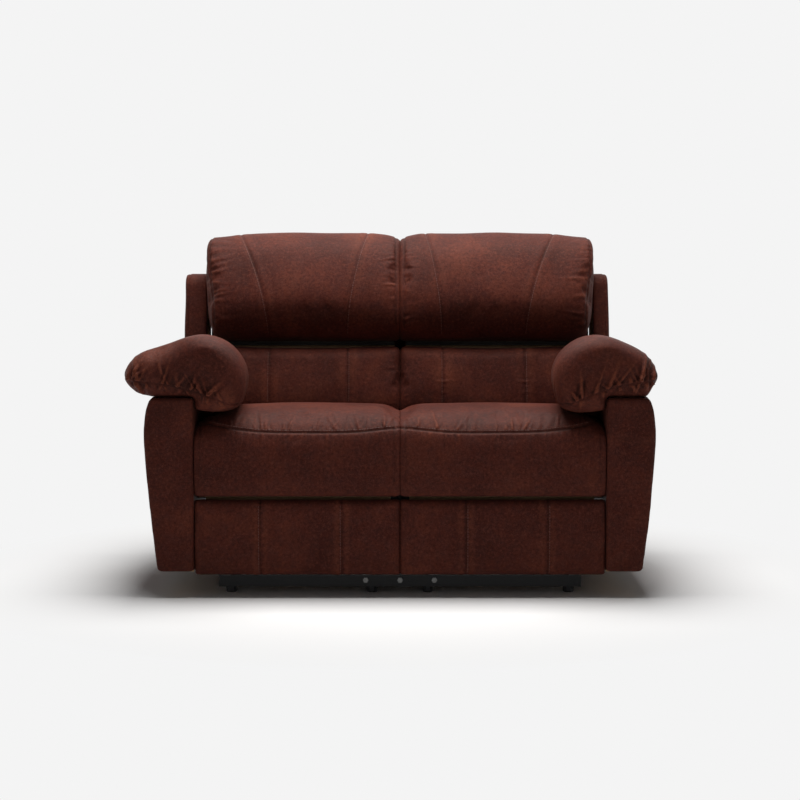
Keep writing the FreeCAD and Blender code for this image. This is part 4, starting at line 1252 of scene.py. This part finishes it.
def webbing():
    """Dark woven strap."""
    made, nodes, links, shader = blank("woven_strap")
    place = object_place(nodes)
    bands = []
    for direction in ("X", "Y"):
        wave = nodes.new("ShaderNodeTexWave")
        wave.bands_direction = direction
        wave.inputs["Scale"].default_value = 120.0
        links.new(place, wave.inputs["Vector"])
        bands.append(wave.outputs["Fac"])
    weave = nodes.new("ShaderNodeMath")
    weave.operation = "MULTIPLY"
    links.new(bands[0], weave.inputs[0])
    links.new(bands[1], weave.inputs[1])
    tone = ramp(nodes, links, weave.outputs["Value"], (0.1, (0.020, 0.017, 0.015)),
                (0.8, (0.075, 0.062, 0.052)))
    links.new(tone, shader.inputs["Base Color"])
    shader.inputs["Roughness"].default_value = 0.85
    links.new(bumped(nodes, links, weave.outputs["Value"], 0.0012, 0.7), shader.inputs["Normal"])
    return made


def plastic():
    made, nodes, links, shader = blank("moulded_plastic")
    place = object_place(nodes)
    texture = noise(nodes, links, place, 900.0, 2.0)
    tone = ramp(nodes, links, texture, (0.3, (0.020, 0.011, 0.009)),
                (0.7, (0.034, 0.019, 0.015)))
    links.new(tone, shader.inputs["Base Color"])
    links.new(spread(nodes, links, texture, 0.3, 0.7, 0.40, 0.52), shader.inputs["Roughness"])
    links.new(bumped(nodes, links, texture, 0.0003, 0.5), shader.inputs["Normal"])
    return made


MAKERS = {
    "leather": leather,
    "thread": thread,
    "wood": timber,
    "webbing": webbing,
    "steel": lambda: painted("black_plate", (0.020, 0.020, 0.022), 0.42),
    "link_steel": lambda: painted("black_link", (0.026, 0.026, 0.028), 0.36),
    "rail_paint": lambda: painted("black_rail", (0.0035, 0.0035, 0.004), 0.45),
    "zinc": zinc,
    "handle_plastic": plastic,
    "glide_plastic": lambda: painted("black_foot", (0.015, 0.015, 0.016), 0.6),
}


def dress_frame():
    """Gives every node of the frame the material of its slot."""
    for part in frame["record"]["subparts"]:
        node = frame["nodes"].get(part["node"])
        if node is not None:
            node.data.materials.clear()
            node.data.materials.append(material(part["material_slot"]))


# Camera, floor and light

def make_camera():
    data = bpy.data.cameras.new("camera")
    camera = add_object("camera", data)
    data.sensor_width = SENSOR_WIDTH
    data.lens = FOCAL_PIXELS / PHOTO_WIDTH * SENSOR_WIDTH
    data.clip_end = 100.0
    camera.location = world(0, -CAMERA_DISTANCE, CAMERA_HEIGHT)
    camera.rotation_euler = (math.radians(90) - CAMERA_TILT, 0, 0)
    bpy.context.scene.camera = camera


def make_lamp():
    """One large square lamp overhead."""
    data = bpy.data.lights.new("top_light", "AREA")
    data.shape = "SQUARE"
    data.size = LAMP_SIZE
    data.energy = LAMP_POWER
    data.color = LAMP_COLOUR
    lamp = add_object("top_light", data)
    lamp.location = LAMP_PLACE
    aim = Vector(LAMP_TARGET) - Vector(LAMP_PLACE)
    lamp.rotation_euler = aim.to_track_quat("-Z", "Y").to_euler()


def pale_glow(nodes):
    """The surroundings' colour, for the far part of the floor."""
    glow = nodes.new("ShaderNodeEmission")
    glow.inputs["Color"].default_value = (*PALE, 1)
    return glow.outputs["Emission"]


def make_stage():
    """Pale floor that melts into the pale surroundings."""
    mesh = bpy.data.meshes.new("floor")
    corners = [(-FLOOR_HALF, -FLOOR_HALF, 0), (FLOOR_HALF, -FLOOR_HALF, 0),
               (FLOOR_HALF, FLOOR_HALF, 0), (-FLOOR_HALF, FLOOR_HALF, 0)]
    mesh.from_pydata(corners, [], [(0, 1, 2, 3)])
    floor = add_object("floor", mesh)
    made, nodes, links, shader = blank("pale_floor")
    shader.inputs["Base Color"].default_value = (FLOOR_GREY, FLOOR_GREY, FLOOR_GREY, 1)
    shader.inputs["Roughness"].default_value = 0.9
    shader.inputs["Specular IOR Level"].default_value = 0.1
    away = nodes.new("ShaderNodeVectorMath")
    away.operation = "LENGTH"
    links.new(object_place(nodes), away.inputs[0])
    fade = spread(nodes, links, away.outputs["Value"], *FLOOR_FADE)
    mixed = nodes.new("ShaderNodeMixShader")
    links.new(fade, mixed.inputs["Fac"])
    links.new(shader.outputs["BSDF"], mixed.inputs[1])
    links.new(pale_glow(nodes), mixed.inputs[2])
    links.new(mixed.outputs["Shader"], nodes["Material Output"].inputs["Surface"])
    mesh.materials.append(made)


def make_surroundings():
    """World that lights evenly and shows pale to the camera and to gloss."""
    world_data = bpy.data.worlds.new("pale")
    bpy.context.scene.world = world_data
    world_data.use_nodes = True
    nodes = world_data.node_tree.nodes
    links = world_data.node_tree.links
    plain = nodes["Background"]
    plain.inputs["Color"].default_value = (*PALE, 1)
    plain.inputs["Strength"].default_value = AMBIENT
    seen = nodes.new("ShaderNodeBackground")
    seen.inputs["Color"].default_value = (*PALE, 1)
    seen.inputs["Strength"].default_value = 1.0
    path = nodes.new("ShaderNodeLightPath")
    mixed = nodes.new("ShaderNodeMixShader")
    shown = path.outputs["Is Camera Ray"]
    for kind in ("Is Glossy Ray", "Is Transmission Ray"):
        either = nodes.new("ShaderNodeMath")
        either.operation = "MAXIMUM"
        links.new(shown, either.inputs[0])
        links.new(path.outputs[kind], either.inputs[1])
        shown = either.outputs["Value"]
    links.new(shown, mixed.inputs["Fac"])
    links.new(plain.outputs["Background"], mixed.inputs[1])
    links.new(seen.outputs["Background"], mixed.inputs[2])
    links.new(mixed.outputs["Shader"], nodes["World Output"].inputs["Surface"])


def main():
    scene = bpy.context.scene
    scene.view_settings.view_transform = "Standard"
    make_camera()
    make_stage()
    make_surroundings()
    make_lamp()
    dress_frame()
    make_seats()
    make_dust_cloth()
    make_pillows()
    make_lumbars()
    make_footrests()
    make_arms()
    make_pads()
    make_shells()


main()
